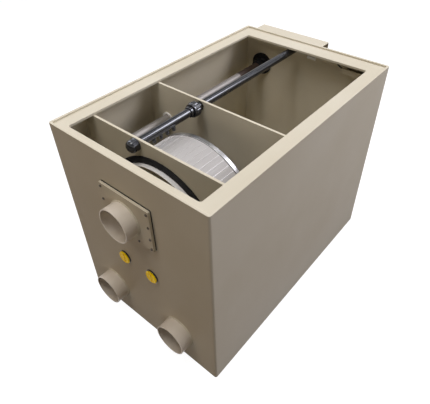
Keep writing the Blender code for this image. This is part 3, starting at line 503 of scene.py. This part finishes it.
def turned(name, profile, centre, axis="Y", steps=96, flutes=None):
    """A turned piece. The profile is (radius, distance along the axis), closed unless it starts on it.

    Flutes are (count, depth, least radius): shallow grooves along what lies outside that radius.
    """
    bm = bmesh.new()
    rings = []
    for radius, distance in profile:
        ring = []
        for i in range(steps if radius > 0 else 1):
            angle = 2 * math.pi * i / steps
            reach = radius
            if flutes and radius > flutes[2]:
                reach -= flutes[1] * (0.5 - 0.5 * math.cos(flutes[0] * angle))
            spot = LIE_ALONG[axis](reach * math.cos(angle), reach * math.sin(angle), distance)
            ring.append(bm.verts.new(Vector(spot) + Vector(centre)))
        rings.append(ring)
    pairs = list(zip(rings, rings[1:]))
    if profile[0][0] > 0:
        pairs.append((rings[-1], rings[0]))
    for near, far in pairs:
        for i in range(steps):
            j = (i + 1) % steps
            corners = [near[i % len(near)], near[j % len(near)], far[j % len(far)], far[i % len(far)]]
            bm.faces.new(list(dict.fromkeys(corners)))
    return to_mesh(bm, name)


def tube(name, inner, outer, start, end, centre, soft, steps=96):
    """A plain tube or ring along Y with softened edges."""
    profile = [(outer, end), (outer, start), (inner, start), (inner, end)]
    return turned(name, softened(profile, soft), centre, steps=steps)


def sleeve(name, node, bore, body, slot, material, soft, steps=96):
    """Dresses a plain tube or ring along Y, which has the outside and the ends of its solid."""
    centre, radius, start, end = round_of(node)
    piece(name, tube(name, bore, radius, start, end, centre, soft, steps), body, slot, material, node)


ROOT_BEAD = 0.0032
ROOT_RIPPLES = 90
ROOT_RIPPLE_DEPTH = 0.0005


def root_bead(name, node, wall_face):
    """A weld bead round the root of a pipe, on the face that the pipe comes out of."""
    centre, radius, _, _ = round_of(node)
    loop = circle(radius, wall_face, ROOT_BEAD, 12)
    ripple = (ROOT_RIPPLES, ROOT_RIPPLE_DEPTH, radius + 0.3 * ROOT_BEAD)
    mesh = turned(name, loop, centre, steps=360, flutes=ripple)
    piece(name, mesh, "tank", "sheet", sheet)


PIPE_WALL = 0.0034
pipe = finish("stub_pipe", srgb(219, 207, 188), 0.40, gloss=0.3)
vary_colour(pipe, noise(pipe, 6, detail=4), srgb(215, 202, 182), srgb(222, 211, 193))
vary_roughness(pipe, noise(pipe, 40, (1, 0.1, 1)), 0.30, 0.42)
raise_grain(pipe, noise(pipe, 500, (1, 0.04, 1), detail=2), 0.00003)
for node in stub_nodes:
    bore = round_of(node)[1] - PIPE_WALL
    sleeve(f"{node}_pipe", node, bore, "tank", "pipe", pipe, soft=0.0007, steps=128)
for node in stub_nodes[:4]:
    root_bead(f"{node}_weld", node, back_high.y if "outlet" in node else front_low.y)

# Waste plate: a flat plate of the same sheet on a dark rubber gasket, screwed to the front so that it
# can be taken off with the waste stub, which is welded through it. The steel screws run down both sides and
# along the bottom.
PLATE_CORNER = 0.004
rubber = finish("black_rubber", srgb(23, 23, 24), 0.60, gloss=0.2)
vary_colour(rubber, noise(rubber, 30), srgb(20, 20, 21), srgb(27, 27, 28))
raise_grain(rubber, noise(rubber, 900), 0.00006)
waste_centre, waste_radius, _, _ = round_of("waste_stub")
waste_hole = circle(waste_centre.x, waste_centre.z, waste_radius + PIPE_FIT, 128)
for node, slot, material, edge in (("waste_gasket", "rubber", rubber, 0.0003),
                                   ("waste_plate", "sheet", sheet, 0.0007)):
    low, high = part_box(node)
    outline = rounded_rectangle((low.x, low.z), (high.x, high.z), PLATE_CORNER)
    mesh = cut_plate(node, [outline, waste_hole], low.y, high.y, "Y", edge)
    piece(f"{node}_sheet", mesh, "tank", slot, material, node)
plate_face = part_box("waste_plate")[0].y
root_bead("waste_stub_weld", "waste_stub", plate_face)

SCREW_ROWS = (0.4837, 0.5225, 0.567, 0.6135)
SCREW_COLUMNS = (-0.0865, 0.0945)
BOTTOM_COLUMNS = (-0.045, 0, 0.045)
SCREW_HEAD = 0.0040
SCREW_RISE = 0.0024
SCREW_SINK = 0.0006
SOCKET = 0.0021
screw_steel = finish("screw_steel", srgb(84, 76, 66), 0.42, 0.8)
vary_roughness(screw_steel, noise(screw_steel, 900), 0.36, 0.50)
screw_profile = [(0, -SCREW_SINK), (SOCKET, -SCREW_SINK), (SOCKET, -SCREW_RISE), (SCREW_HEAD, -SCREW_RISE),
                 (SCREW_HEAD, SCREW_SINK), (0, SCREW_SINK)]
screw_profile = softened(screw_profile, 0.0006, closed=False)
screw_places = [(column, row) for column in SCREW_COLUMNS for row in SCREW_ROWS]
screw_places += [(column, SCREW_ROWS[0]) for column in BOTTOM_COLUMNS]
screws_bm = bmesh.new()
for x, z in screw_places:
    screws_bm.from_mesh(turned("screw", screw_profile, (x, plate_face, z), steps=24))
piece("waste_plate_screws", to_mesh(screws_bm, "waste_plate_screws"), "tank", "steel", screw_steel)


# Waste trough: a gutter of thinner sheet inside the drum that catches what the spray washes off the screen.
# It hangs from an end plate welded round the inner end of the waste stub.
def keep(node, material, edge):
    """Dresses a solid whose shape is right as it is: its finish and softened edges."""
    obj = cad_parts[node]
    obj.data.materials.clear()
    obj.data.materials.append(material)
    weld = obj.modifiers.new("Close seams", "WELD")
    weld.merge_threshold = 0.00001
    soften = obj.modifiers.new("Soft edges", "BEVEL")
    soften.width = edge
    soften.segments = 2
    soften.limit_method = "ANGLE"
    soften.angle_limit = math.radians(35)
    soften.harden_normals = False


END_CORNER = 0.002
end_low, end_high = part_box("trough_end_plate")
end_outline = rounded_rectangle((end_low.x, end_low.z), (end_high.x, end_high.z), END_CORNER)
end_plate = cut_plate("trough_end", [end_outline, waste_hole], end_low.y, end_high.y, "Y", edge=0.0005)
piece("trough_end", end_plate, "tank", "sheet", sheet, "trough_end_plate")
keep("waste_trough", sheet, edge=0.0006)

# Ports: two black plastic tank fittings below the waste plate, their flanges against the front and a ribbed
# nut on the barrel inside. They are for hose tails.
PORT_BORE = 0.012
PORT_BARREL = 0.0165
PORT_FLANGE = 0.004
PORT_NUT_FLUTES = (8, 0.0018, 0.02)
black = finish("black_pipe_plastic", srgb(26, 27, 30), 0.15, gloss=0.8)
vary_colour(black, noise(black, 25, detail=4), srgb(23, 24, 27), srgb(29, 30, 34))
vary_roughness(black, noise(black, 120, detail=4), 0.12, 0.19)
raise_grain(black, noise(black, 800), 0.00001)
for word in ("left", "right"):
    centre, radius, start, end = round_of(f"port_fitting_{word}")
    shoulder = start + PORT_FLANGE
    profile = [(PORT_BARREL, end), (PORT_BARREL, shoulder), (radius, shoulder), (radius, start),
               (PORT_BORE, start), (PORT_BORE, end)]
    mesh = turned(f"port_{word}", softened(profile, 0.0009), centre)
    piece(f"port_{word}", mesh, "tank", "black", black, f"port_fitting_{word}")
    centre, radius, start, end = round_of(f"port_back_nut_{word}")
    profile = [(radius, end), (radius, start), (PORT_BARREL + GAP, start), (PORT_BARREL + GAP, end)]
    mesh = turned(f"port_nut_{word}", softened(profile, 0.0012), centre, flutes=PORT_NUT_FLUTES)
    piece(f"port_nut_{word}", mesh, "tank", "black", black, f"port_back_nut_{word}")

# Port caps: yellow moulded plugs pushed into the ports for transport. Each has a low domed head with a
# raised rim and a grip rib across it, and a plain plug behind.
CAP_RIB = 0.0026
CAP_RIB_REACH = 0.74
RUNNING_GAP = 0.0005
yellow = finish("yellow_cap", srgb(244, 201, 4), 0.46, 0.22, gloss=0.05)
vary_colour(yellow, noise(yellow, 90), srgb(241, 199, 5), srgb(250, 211, 11))
vary_roughness(yellow, noise(yellow, 300), 0.34, 0.48)
raise_grain(yellow, noise(yellow, 1200), 0.00003)
for word in ("left", "right"):
    centre, radius, face, plug_end = round_of(f"port_cap_{word}")
    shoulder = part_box(f"port_fitting_{word}")[0].y - GAP
    crown = shoulder - face
    plug_radius = PORT_BORE - RUNNING_GAP
    dome = [(0, plug_end), (plug_radius, plug_end), (plug_radius, shoulder), (radius, shoulder),
            (radius, shoulder - 0.45 * crown), (0.90 * radius, shoulder - 0.80 * crown),
            (0.78 * radius, shoulder - 0.80 * crown), (0.72 * radius, shoulder - 0.55 * crown),
            (0.35 * radius, shoulder - 0.70 * crown), (0, shoulder - 0.74 * crown)]
    cap_bm = bmesh.new()
    cap_bm.from_mesh(turned("cap", softened(dome, 0.0009, closed=False), centre, steps=72))
    rib_loop = rounded_rectangle((centre.x - CAP_RIB, centre.z - CAP_RIB_REACH * radius),
                                 (centre.x + CAP_RIB, centre.z + CAP_RIB_REACH * radius), 0.0012, 3)
    cap_bm.from_mesh(cut_plate("rib", [rib_loop], face + 0.0001, shoulder - 0.4 * crown, "Y", edge=0.0007))
    mesh = to_mesh(cap_bm, f"port_plug_{word}")
    piece(f"port_plug_{word}", mesh, f"port_cap_{word}", "yellow", yellow, f"port_cap_{word}")


# Axle: a fixed stainless stub axle on the rear partition, with a round flange in front of the sheet, four
# bolts through it and a big nut behind. The drum's hub turns on it.
def along_y(material, scale, detail=2):
    """A pattern of fine rings round a piece that lies along Y, as a lathe or a polisher leaves them."""
    return noise(material, scale, (0, 1, 0), detail)


steel = finish("turned_steel", srgb(206, 204, 201), 0.24, 1.0)
vary_colour(steel, along_y(steel, 500), srgb(196, 194, 190), srgb(214, 212, 210))
vary_roughness(steel, along_y(steel, 900), 0.18, 0.32)
raise_grain(steel, along_y(steel, 1500), 0.00002)
centre, radius, start, end = round_of("drum_axle")
axle_profile = softened([(0, end), (radius, end), (radius, start), (0, start)], 0.0015, closed=False)
piece("axle", turned("axle", axle_profile, centre, steps=64), "tank", "steel", steel, "drum_axle")
axle_radius = radius
centre, radius, start, _ = round_of("axle_flange")
sleeve("axle_plate", "axle_flange", axle_radius + GAP, "tank", "steel", steel, soft=0.0010)
keep("axle_nut", steel, edge=0.0012)

BOLT_ACROSS = 0.0065
BOLT_RISE = 0.0053
BOLT_SEAT = 0.0010
WASHER_ACROSS = 1.55 * BOLT_ACROSS
WASHER_THICK = 0.0012


def hex_bolts(name, centre, ring_radius, count, face, facing, body, slot, material):
    """Hexagon bolt heads on washers, in a ring on a face across Y."""
    bm = bmesh.new()
    for i in range(count):
        angle = 2 * math.pi * (i + 0.5) / count
        u, v = centre.x + ring_radius * math.cos(angle), centre.z + ring_radius * math.sin(angle)
        washer = sorted((face, face + facing * WASHER_THICK))
        head = sorted((face + facing * BOLT_SEAT, face + facing * BOLT_RISE))
        bm.from_mesh(cut_plate("washer", [circle(u, v, WASHER_ACROSS, 32)], *washer, "Y", edge=0.0003))
        bm.from_mesh(cut_plate("head", [circle(u, v, BOLT_ACROSS, 6)], *head, "Y", edge=0.0006))
    piece(name, to_mesh(bm, name), body, slot, material)


hex_bolts("axle_bolts", centre, 0.70 * radius, 4, start, -1, "tank", "steel", steel)

# Drum front collar: a rolled stainless ring that reaches forward through the mouth into the rubber seal. A
# flange on it, behind the partition, carries the gear ring.
COLLAR_WALL = 0.003
COLLAR_FLANGE = 0.0057
COLLAR_OUTSIDE = 0.2004
satin = finish("satin_steel", srgb(236, 232, 224), 0.48, 0.20)
vary_colour(satin, along_y(satin, 300), srgb(230, 226, 218), srgb(241, 237, 230))
vary_roughness(satin, along_y(satin, 1200), 0.42, 0.54)
raise_grain(satin, along_y(satin, 1800), 0.00002)
centre, radius, start, end = round_of("drum_front_collar")
drum_centre = centre
collar_inside = COLLAR_OUTSIDE - COLLAR_WALL
flange_front = end - COLLAR_FLANGE
collar_profile = [(radius, end), (radius, flange_front), (COLLAR_OUTSIDE, flange_front),
                  (COLLAR_OUTSIDE, start), (collar_inside, start), (collar_inside, end)]
mesh = turned("collar", softened(collar_profile, 0.0010), centre, steps=192)
piece("drum_collar", mesh, "drum", "steel", satin, "drum_front_collar")

# Gear ring: a toothed ring of white engineering plastic bolted behind the collar. The pinion on the drive
# shaft meshes with it.
nylon = finish("white_nylon", srgb(236, 233, 225), 0.42)
vary_colour(nylon, noise(nylon, 40), srgb(231, 227, 217), srgb(241, 238, 231))
vary_roughness(nylon, noise(nylon, 250), 0.36, 0.50)
raise_grain(nylon, noise(nylon, 900), 0.00003)
keep("drum_gear_ring", nylon, edge=0.0006)

# Screen: fine stainless wire cloth stretched round the drum, with lengthwise flat ribs that stand a little
# proud of it. The cloth is woven too finely to count and takes a satin light.
CLOTH_PITCH = 0.0010
CLOTH_THICK = 0.0016
RIB_COUNT = 64
RIB_WIDTH = 0.0018
RIB_RISE = 0.0008
RIB_SINK = 0.001
RIB_SHORT = 0.0004
_, rib_radius, start, end = round_of("drum_screen")
screen_radius = rib_radius - RIB_RISE


def wire_cloth():
    """Satin steel cloth: wires round the drum and along it, worked out from the angle and the length."""
    material = finish("wire_cloth", srgb(176, 171, 164), 0.55, 0.15)
    tree = material.node_tree
    place = tree.nodes.new("ShaderNodeTexCoord")
    split = tree.nodes.new("ShaderNodeSeparateXYZ")
    tree.links.new(place.outputs["Object"], split.inputs[0])

    def maths(operation, *values):
        node = tree.nodes.new("ShaderNodeMath")
        node.operation = operation
        for socket, value in zip(node.inputs, values):
            if isinstance(value, (int, float)):
                socket.default_value = value
            else:
                tree.links.new(value, socket)
        return node.outputs[0]

    across = maths("SUBTRACT", split.outputs["X"], drum_centre.x)
    up = maths("SUBTRACT", split.outputs["Z"], drum_centre.z)
    angle = maths("ARCTAN2", up, across)
    wires_round = round(2 * math.pi * screen_radius / CLOTH_PITCH)
    warp = maths("SINE", maths("MULTIPLY", angle, wires_round))
    weft = maths("SINE", maths("MULTIPLY", split.outputs["Y"], 2 * math.pi / CLOTH_PITCH))
    weave = maths("MULTIPLY_ADD", maths("MULTIPLY", warp, weft), 0.5, 0.5)
    vary_colour(material, weave, srgb(168, 163, 156), srgb(184, 179, 172))
    raise_grain(material, weave, 0.00006)
    vary_roughness(material, noise(material, 35, (1, 0.15, 1)), 0.50, 0.62)
    return material


cloth = wire_cloth()
cloth_inside = screen_radius - CLOTH_THICK
mesh = tube("screen_cloth", cloth_inside, screen_radius, start, end, drum_centre, soft=0.0003, steps=256)
piece("screen_cloth", mesh, "drum", "screen", cloth, "drum_screen")
ribs_bm = bmesh.new()
rib_steel = finish("rib_steel", srgb(196, 192, 186), 0.38, 0.5)
vary_roughness(rib_steel, noise(rib_steel, 300, (1, 0.1, 1)), 0.32, 0.46)
for i in range(RIB_COUNT):
    bar_bm = bmesh.new()
    bmesh.ops.create_cube(bar_bm, size=1)
    rib_size = (rib_radius - screen_radius + RIB_SINK, end - start - RIB_SHORT, RIB_WIDTH)
    bmesh.ops.scale(bar_bm, vec=rib_size, verts=bar_bm.verts)
    bmesh.ops.bevel(bar_bm, geom=bar_bm.edges, offset=0.0005, segments=2, affect="EDGES", profile=0.5)
    spin = Matrix.Rotation(-2 * math.pi * i / RIB_COUNT, 4, "Y")
    stand_off = Matrix.Translation(((rib_radius + screen_radius - RIB_SINK) / 2, (start + end) / 2, 0))
    place = Matrix.Translation(drum_centre) @ spin @ stand_off
    bmesh.ops.transform(bar_bm, matrix=place, verts=bar_bm.verts)
    ribs_bm.from_mesh(to_mesh(bar_bm, "rib"))
piece("screen_ribs", to_mesh(ribs_bm, "screen_ribs"), "drum", "screen", rib_steel)

# Rear of the drum: a bright rolled band round the screen's edge, a flat end plate inside it and a black hub
# that turns on the axle, its flange bolted to the plate.
bright = finish("rolled_steel", srgb(172, 170, 167), 0.34, 1.0)
vary_colour(bright, along_y(bright, 300), srgb(165, 163, 160), srgb(178, 176, 173))
vary_roughness(bright, along_y(bright, 1200), 0.26, 0.38)
raise_grain(bright, along_y(bright, 1800), 0.00002)
BAND_DEPTH = 0.004
_, band_radius, start, end = round_of("drum_rear_band")
band_inside = rib_radius - BAND_DEPTH
mesh = tube("rear_band", band_inside, band_radius, start, end, drum_centre, soft=0.0012, steps=256)
piece("rear_band", mesh, "drum", "steel", bright, "drum_rear_band")
HUB_BARREL = 0.032
HUB_FLANGE_THICK = 0.0055
_, plate_radius, start, end = round_of("drum_rear_plate")
_, hub_flange, hub_start, hub_end = round_of("drum_hub")
mesh = tube("rear_plate", HUB_BARREL + GAP, plate_radius, start, end, drum_centre, soft=0.0006, steps=192)
piece("rear_plate", mesh, "drum", "steel", steel, "drum_rear_plate")
hub_seat = end + GAP
hub_back = hub_seat + HUB_FLANGE_THICK
hub_bore = axle_radius + RUNNING_GAP
hub_profile = [(HUB_BARREL, hub_end), (HUB_BARREL, hub_back), (hub_flange, hub_back),
               (hub_flange, hub_seat), (HUB_BARREL, hub_seat), (HUB_BARREL, hub_start),
               (hub_bore, hub_start), (hub_bore, hub_end)]
piece("hub", turned("hub", softened(hub_profile, 0.0010), drum_centre), "drum", "black", black, "drum_hub")
hex_bolts("hub_bolts", drum_centre, 0.78 * hub_flange, 6, hub_back, 1, "drum", "steel", steel)

# Seal: a flat black rubber ring on the front of the front partition. Its inner edge runs on the collar and
# keeps dirty water out of the drum chamber.
seal_inner = COLLAR_OUTSIDE + RUNNING_GAP
sleeve("mouth_seal", "drum_seal", seal_inner, "tank", "rubber", rubber, soft=0.0010, steps=192)

# Drive shaft: a long satin stainless tube down the upper left of the tank, which goes through the back wall
# to the gearbox. Its rear end is a separate tube painted dark brown, a painted reflection of the shaded rim
# and back wall. Its white pinion drives the gear ring.
polished = finish("polished_shaft", srgb(156, 150, 143), 0.45, 0.5)
vary_roughness(polished, along_y(polished, 700), 0.40, 0.52)
SHAFT_BORE = 0.0130
PAINTED_DARK_START = 0.295
PAINTED_DARK_SEAM = 0.0004
mesh = tube("shaft", SHAFT_BORE, shaft_radius, shaft_start, PAINTED_DARK_START, shaft_centre, soft=0.0006)
piece("shaft", mesh, "drive", "steel", polished, "drive_shaft")
# The shaft's rear end is painted dark brown, a painted reflection of the shaded rim and back wall, darker
# than the steel in front of it.
shaft_painted_reflection = finish("painted_dark_reflection", srgb(74, 60, 52), 0.50, 0.6)
vary_colour(shaft_painted_reflection, along_y(shaft_painted_reflection, 120), srgb(66, 53, 46), srgb(82, 67, 58))
vary_roughness(shaft_painted_reflection, noise(shaft_painted_reflection, 200), 0.44, 0.58)
painted_dark_front = PAINTED_DARK_START + PAINTED_DARK_SEAM
mesh = tube("painted_dark_end", SHAFT_BORE, shaft_radius, painted_dark_front, shaft_end, shaft_centre, soft=0.0010)
piece("shaft_painted_dark_end", mesh, "drive", "steel", shaft_painted_reflection)
keep("drive_pinion", nylon, edge=0.0006)

# Shaft bearings: a black plastic disc behind the front partition, a flanged white plastic bush through the
# rear partition and a big dull black flange with a boss, bolted to the inside of the back wall.
BEARING_PLAY = 0.0004
BEARING_BORE = shaft_radius + BEARING_PLAY
sleeve("front_bearing", "shaft_front_bearing", BEARING_BORE, "tank", "black", black, soft=0.0010, steps=64)
BUSH_FLANGE = 0.004
centre, radius, start, end = round_of("shaft_bush")
shoulder = start + BUSH_FLANGE
bush_profile = [(BUSH_BARREL, end), (BUSH_BARREL, shoulder), (radius, shoulder), (radius, start),
                (BEARING_BORE, start), (BEARING_BORE, end)]
mesh = turned("bush", softened(bush_profile, 0.0008), centre, steps=64)
piece("bush", mesh, "tank", "gear", nylon, "shaft_bush")
FLANGE_THICK = 0.0075
BOSS_RADIUS = 0.0225
BOSS_FILLET = 0.003
dull_black = finish("dull_black_plastic", srgb(17, 17, 18), 0.55, gloss=0.25)
vary_colour(dull_black, noise(dull_black, 50), srgb(14, 14, 15), srgb(20, 20, 21))
vary_roughness(dull_black, noise(dull_black, 200), 0.48, 0.62)
raise_grain(dull_black, noise(dull_black, 900), 0.00004)
centre, radius, start, end = round_of("shaft_flange")
flange_face = end - FLANGE_THICK
flange_profile = [(radius, end), (radius, flange_face), (BOSS_RADIUS + BOSS_FILLET, flange_face),
                  (BOSS_RADIUS, flange_face - BOSS_FILLET), (BOSS_RADIUS, start), (BEARING_BORE, start),
                  (BEARING_BORE, end)]
mesh = turned("wall_flange", softened(flange_profile, 0.0010), centre, steps=96)
piece("wall_flange", mesh, "tank", "black", dull_black, "shaft_flange")
hex_bolts("wall_flange_bolts", centre, 0.74 * radius, 4, flange_face, -1, "tank", "black", dull_black)

# Gear motor: a cast aluminium gearbox on the outside of the back wall, with a dark grey ribbed motor lying
# beside it along the wall and a small terminal box on top.
cast = finish("cast_aluminium", srgb(168, 170, 172), 0.46, 0.85)
vary_colour(cast, noise(cast, 120, detail=5), srgb(158, 160, 162), srgb(176, 178, 180))
vary_roughness(cast, noise(cast, 500), 0.40, 0.56)
raise_grain(cast, noise(cast, 700, detail=5), 0.00015)
keep("gearbox", cast, edge=0.0035)
paint = finish("motor_paint", srgb(72, 76, 80), 0.42, 0.1)
vary_colour(paint, noise(paint, 60), srgb(67, 71, 75), srgb(78, 82, 86))
vary_roughness(paint, noise(paint, 400), 0.36, 0.50)
raise_grain(paint, noise(paint, 900), 0.00005)
FAN_COWL = 0.030
COOLING_RIBS = 30
COOLING_DEPTH = 0.0022
motor_low, motor_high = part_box("motor")
motor_radius = (motor_high.z - motor_low.z) / 2
motor_centre = (0, (motor_low.y + motor_high.y) / 2, (motor_low.z + motor_high.z) / 2)
rib_end = motor_high.x - FAN_COWL
motor_profile = [(0, motor_low.x), (motor_radius, motor_low.x), (motor_radius, motor_low.x + 0.008),
                 (0.98 * motor_radius, motor_low.x + 0.009), (0.98 * motor_radius, rib_end),
                 (0.88 * motor_radius, rib_end + 0.001), (0.94 * motor_radius, rib_end + 0.004),
                 (0.94 * motor_radius, motor_high.x - 0.006), (0.78 * motor_radius, motor_high.x),
                 (0, motor_high.x)]
cooling = (COOLING_RIBS, COOLING_DEPTH, 0.97 * motor_radius)
motor_profile = softened(motor_profile, 0.0010, closed=False)
mesh = turned("motor_body", motor_profile, motor_centre, "X", steps=240, flutes=cooling)
piece("motor_body", mesh, "tank", "motor", paint, "motor")
TERMINAL_LID = 0.005
LID_OVERHANG = 0.0012
BOX_CORNER = 0.004
BOX_SINK = 0.006
box_low, box_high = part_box("motor_terminal_box")
seat = motor_high.z - BOX_SINK
lid_foot = box_high.z - TERMINAL_LID
terminal_bm = bmesh.new()
for inset, foot, top in ((LID_OVERHANG, seat, lid_foot), (0.0, lid_foot, box_high.z)):
    loop = rounded_rectangle((box_low.x + inset, box_low.y + inset),
                             (box_high.x - inset, box_high.y - inset), BOX_CORNER)
    terminal_bm.from_mesh(cut_plate("terminal", [loop], foot, top, "Z", edge=0.0009))
mesh = to_mesh(terminal_bm, "terminal_box")
piece("terminal_box", mesh, "tank", "motor", paint, "motor_terminal_box")

# Motor hood: a folded cover of the same sheet as the tank, open below and at its right end. Two hooks
# inside it hang on rails welded to the back wall, so that it lifts off.
keep("motor_hood", sheet, edge=0.0014)
keep("hood_rail_left", sheet, edge=0.0005)
keep("hood_rail_right", sheet, edge=0.0005)

# Spray bar: black pressure pipe over the drum, with a domed cap glued on its front end and a row of nozzles
# screwed in below that wash the screen.
BAR_BORE = 0.0104
CAP_SKIRT = 0.005
CAP_LIP = 0.0007
LIP_SLOPE = 0.001
DOME_REACH = 0.013
NOZZLES = 5
sleeve("spray_pipe", "spray_bar", BAR_BORE, "spray_bar", "black", black, soft=0.0006)
_, cap_radius, cap_start, cap_end = round_of("spray_end_cap")
cap_bore = bar_radius + GAP
cap_floor = bar_start - GAP
dome_radius = cap_radius - CAP_LIP
dome = [(0, cap_floor), (cap_bore, cap_floor), (cap_bore, cap_end), (cap_radius, cap_end),
        (cap_radius, cap_end - CAP_SKIRT), (dome_radius, cap_end - (CAP_SKIRT + LIP_SLOPE))]
for k in range(9):
    angle = math.pi / 2 * k / 8
    dome.append((dome_radius * math.cos(angle), cap_start + DOME_REACH * (1 - math.sin(angle))))
dome[-1] = (0, cap_start)
mesh = turned("spray_cap", dome, bar_centre, steps=96)
piece("spray_cap", mesh, "spray_bar", "black", black, "spray_end_cap")
for number in range(1, NOZZLES + 1):
    low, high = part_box(f"spray_nozzle_{number}")
    radius = (high.x - low.x) / 2
    length = high.z - low.z
    nozzle = [(0, high.z), (0.80 * radius, high.z), (0.80 * radius, high.z - 0.28 * length),
              (radius, high.z - 0.32 * length), (radius, high.z - 0.60 * length),
              (0.92 * radius, high.z - 0.62 * length), (0.92 * radius, high.z - 0.82 * length),
              (0.60 * radius, low.z), (0.30 * radius, low.z),
              (0.22 * radius, low.z + 0.15 * length), (0, low.z + 0.15 * length)]
    middle = ((low.x + high.x) / 2, (low.y + high.y) / 2, 0)
    mesh = turned(f"nozzle_{number}", softened(nozzle, 0.0004, closed=False), middle, "Z", 48)
    piece(f"nozzle_{number}", mesh, "spray_bar", "black", black, f"spray_nozzle_{number}")

# Union: a black plastic collar glued on the bar and a fluted nut that screws the bar to its supply pipe, so
# that the bar can be taken out for cleaning.
NUT_FLUTES = 20
NUT_FLUTE_DEPTH = 0.0012
sleeve("union_ring", "union_collar", bar_radius + GAP, "spray_bar", "black", black, soft=0.0012)
centre, radius, start, end = round_of("union_nut")
nut_bore = bar_radius + RUNNING_GAP
nut_profile = [(0.93 * radius, end), (radius, end - 0.003), (radius, start + 0.008),
               (0.955 * radius, start + 0.0065), (0.955 * radius, start + 0.0015), (0.90 * radius, start),
               (nut_bore, start), (nut_bore, end)]
grip = (NUT_FLUTES, NUT_FLUTE_DEPTH, 0.97 * radius)
mesh = turned("nut", softened(nut_profile, 0.0010), centre, steps=240, flutes=grip)
piece("nut", mesh, "union_nut", "black", black, "union_nut")

# Supply pipe: the same black pipe from the union through the rear chamber and out of the back wall, where a
# rubber grommet seals it.
sleeve("feed_pipe", "supply_pipe", BAR_BORE, "tank", "black", black, soft=0.0008)
sleeve("feed_grommet", "supply_grommet", bar_radius + GAP, "tank", "rubber", rubber, soft=0.0010, steps=64)

# Level sensor: a folded sheet bracket under the rear rim, with a black plastic stem through its floor and a
# white plastic float that slides on the stem.
STEM_RADIUS = 0.004
HEAD_HEIGHT = 0.010
STOP_RADIUS = 0.009
STOP_HEIGHT = 0.006
FLOAT_SLOPE = 0.004
FLOAT_GROOVE = 0.001
keep("sensor_bracket", sheet, edge=0.0006)
low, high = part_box("sensor_stem")
stem_centre = ((low.x + high.x) / 2, (low.y + high.y) / 2, 0)
head_radius = (high.x - low.x) / 2
head_foot = high.z - HEAD_HEIGHT
stop_top = low.z + STOP_HEIGHT
stem_profile = [(0, high.z), (head_radius, high.z), (head_radius, head_foot), (STEM_RADIUS, head_foot),
                (STEM_RADIUS, stop_top), (STOP_RADIUS, stop_top), (STOP_RADIUS, low.z), (0, low.z)]
mesh = turned("stem", softened(stem_profile, 0.0010, closed=False), stem_centre, "Z", 64)
piece("stem", mesh, "tank", "black", black, "sensor_stem")
white = finish("white_plastic", srgb(246, 245, 242), 0.40)
vary_colour(white, noise(white, 60), srgb(242, 241, 237), srgb(249, 248, 246))
vary_roughness(white, noise(white, 300), 0.34, 0.46)
low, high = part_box("sensor_float")
radius = (high.x - low.x) / 2
middle = (low.z + high.z) / 2
float_bore = STEM_RADIUS + RUNNING_GAP
float_profile = [(0.82 * radius, high.z), (radius, high.z - FLOAT_SLOPE), (radius, middle + FLOAT_GROOVE),
                 (0.97 * radius, middle), (radius, middle - FLOAT_GROOVE), (radius, low.z + FLOAT_SLOPE),
                 (0.82 * radius, low.z), (float_bore, low.z), (float_bore, high.z)]
mesh = turned("float_ball", softened(float_profile, 0.0016), stem_centre, "Z", 64)
piece("float_ball", mesh, "float", "white", white, "sensor_float")

# Sensor lead: a thin lead in black rubber that lies in the bracket's tray and rises to the back wall. It is
# one smooth curve, round in section, from the sensor's head to the wall.
LEAD_RADIUS = 0.0026
LEAD_END_GAP = 0.0006
lead_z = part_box("sensor_lead")[0].z + LEAD_RADIUS
wall_y = inner_back - LEAD_END_GAP
lead_y = stem_centre[1]
lead_route = [(stem_centre[0] - head_radius - GAP, lead_y, lead_z), (0.225, lead_y, lead_z),
              (0.190, lead_y, lead_z), (0.168, lead_y, lead_z), (0.154, lead_y, lead_z),
              (0.142, lead_y, lead_z + 0.002),
              (0.130, lead_y + 0.001, lead_z + 0.007), (0.120, lead_y + 0.005, lead_z + 0.012),
              (0.115, wall_y - 0.006, lead_z + 0.014), (0.115, wall_y, lead_z + 0.014)]
lead_curve = bpy.data.curves.new("sensor_cable", "CURVE")
lead_curve.dimensions = "3D"
lead_curve.bevel_depth = LEAD_RADIUS
lead_curve.bevel_resolution = 4
lead_curve.use_fill_caps = True
lead_line = lead_curve.splines.new("BEZIER")
lead_line.bezier_points.add(len(lead_route) - 1)
for target, point in zip(lead_line.bezier_points, lead_route):
    target.co = point
    target.handle_left_type = target.handle_right_type = "AUTO"
lead_curve.materials.append(rubber)
lead = bpy.data.objects.new("sensor_cable", lead_curve)
scene.collection.objects.link(lead)
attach(lead, "tank")
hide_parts("sensor_lead")

# Cable clip: a small saddle of the float's white plastic, moulded in one piece and stuck to the back wall
# below the rim. Its edges are well rounded.
CLIP_CORNER = 0.0022
low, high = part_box("cable_clip")
clip_loop = rounded_rectangle((low.x, low.z), (high.x, high.z), CLIP_CORNER)
mesh = cut_plate("clip", [clip_loop], low.y, high.y, "Y", edge=0.0015)
piece("clip", mesh, "tank", "white", white, "cable_clip")
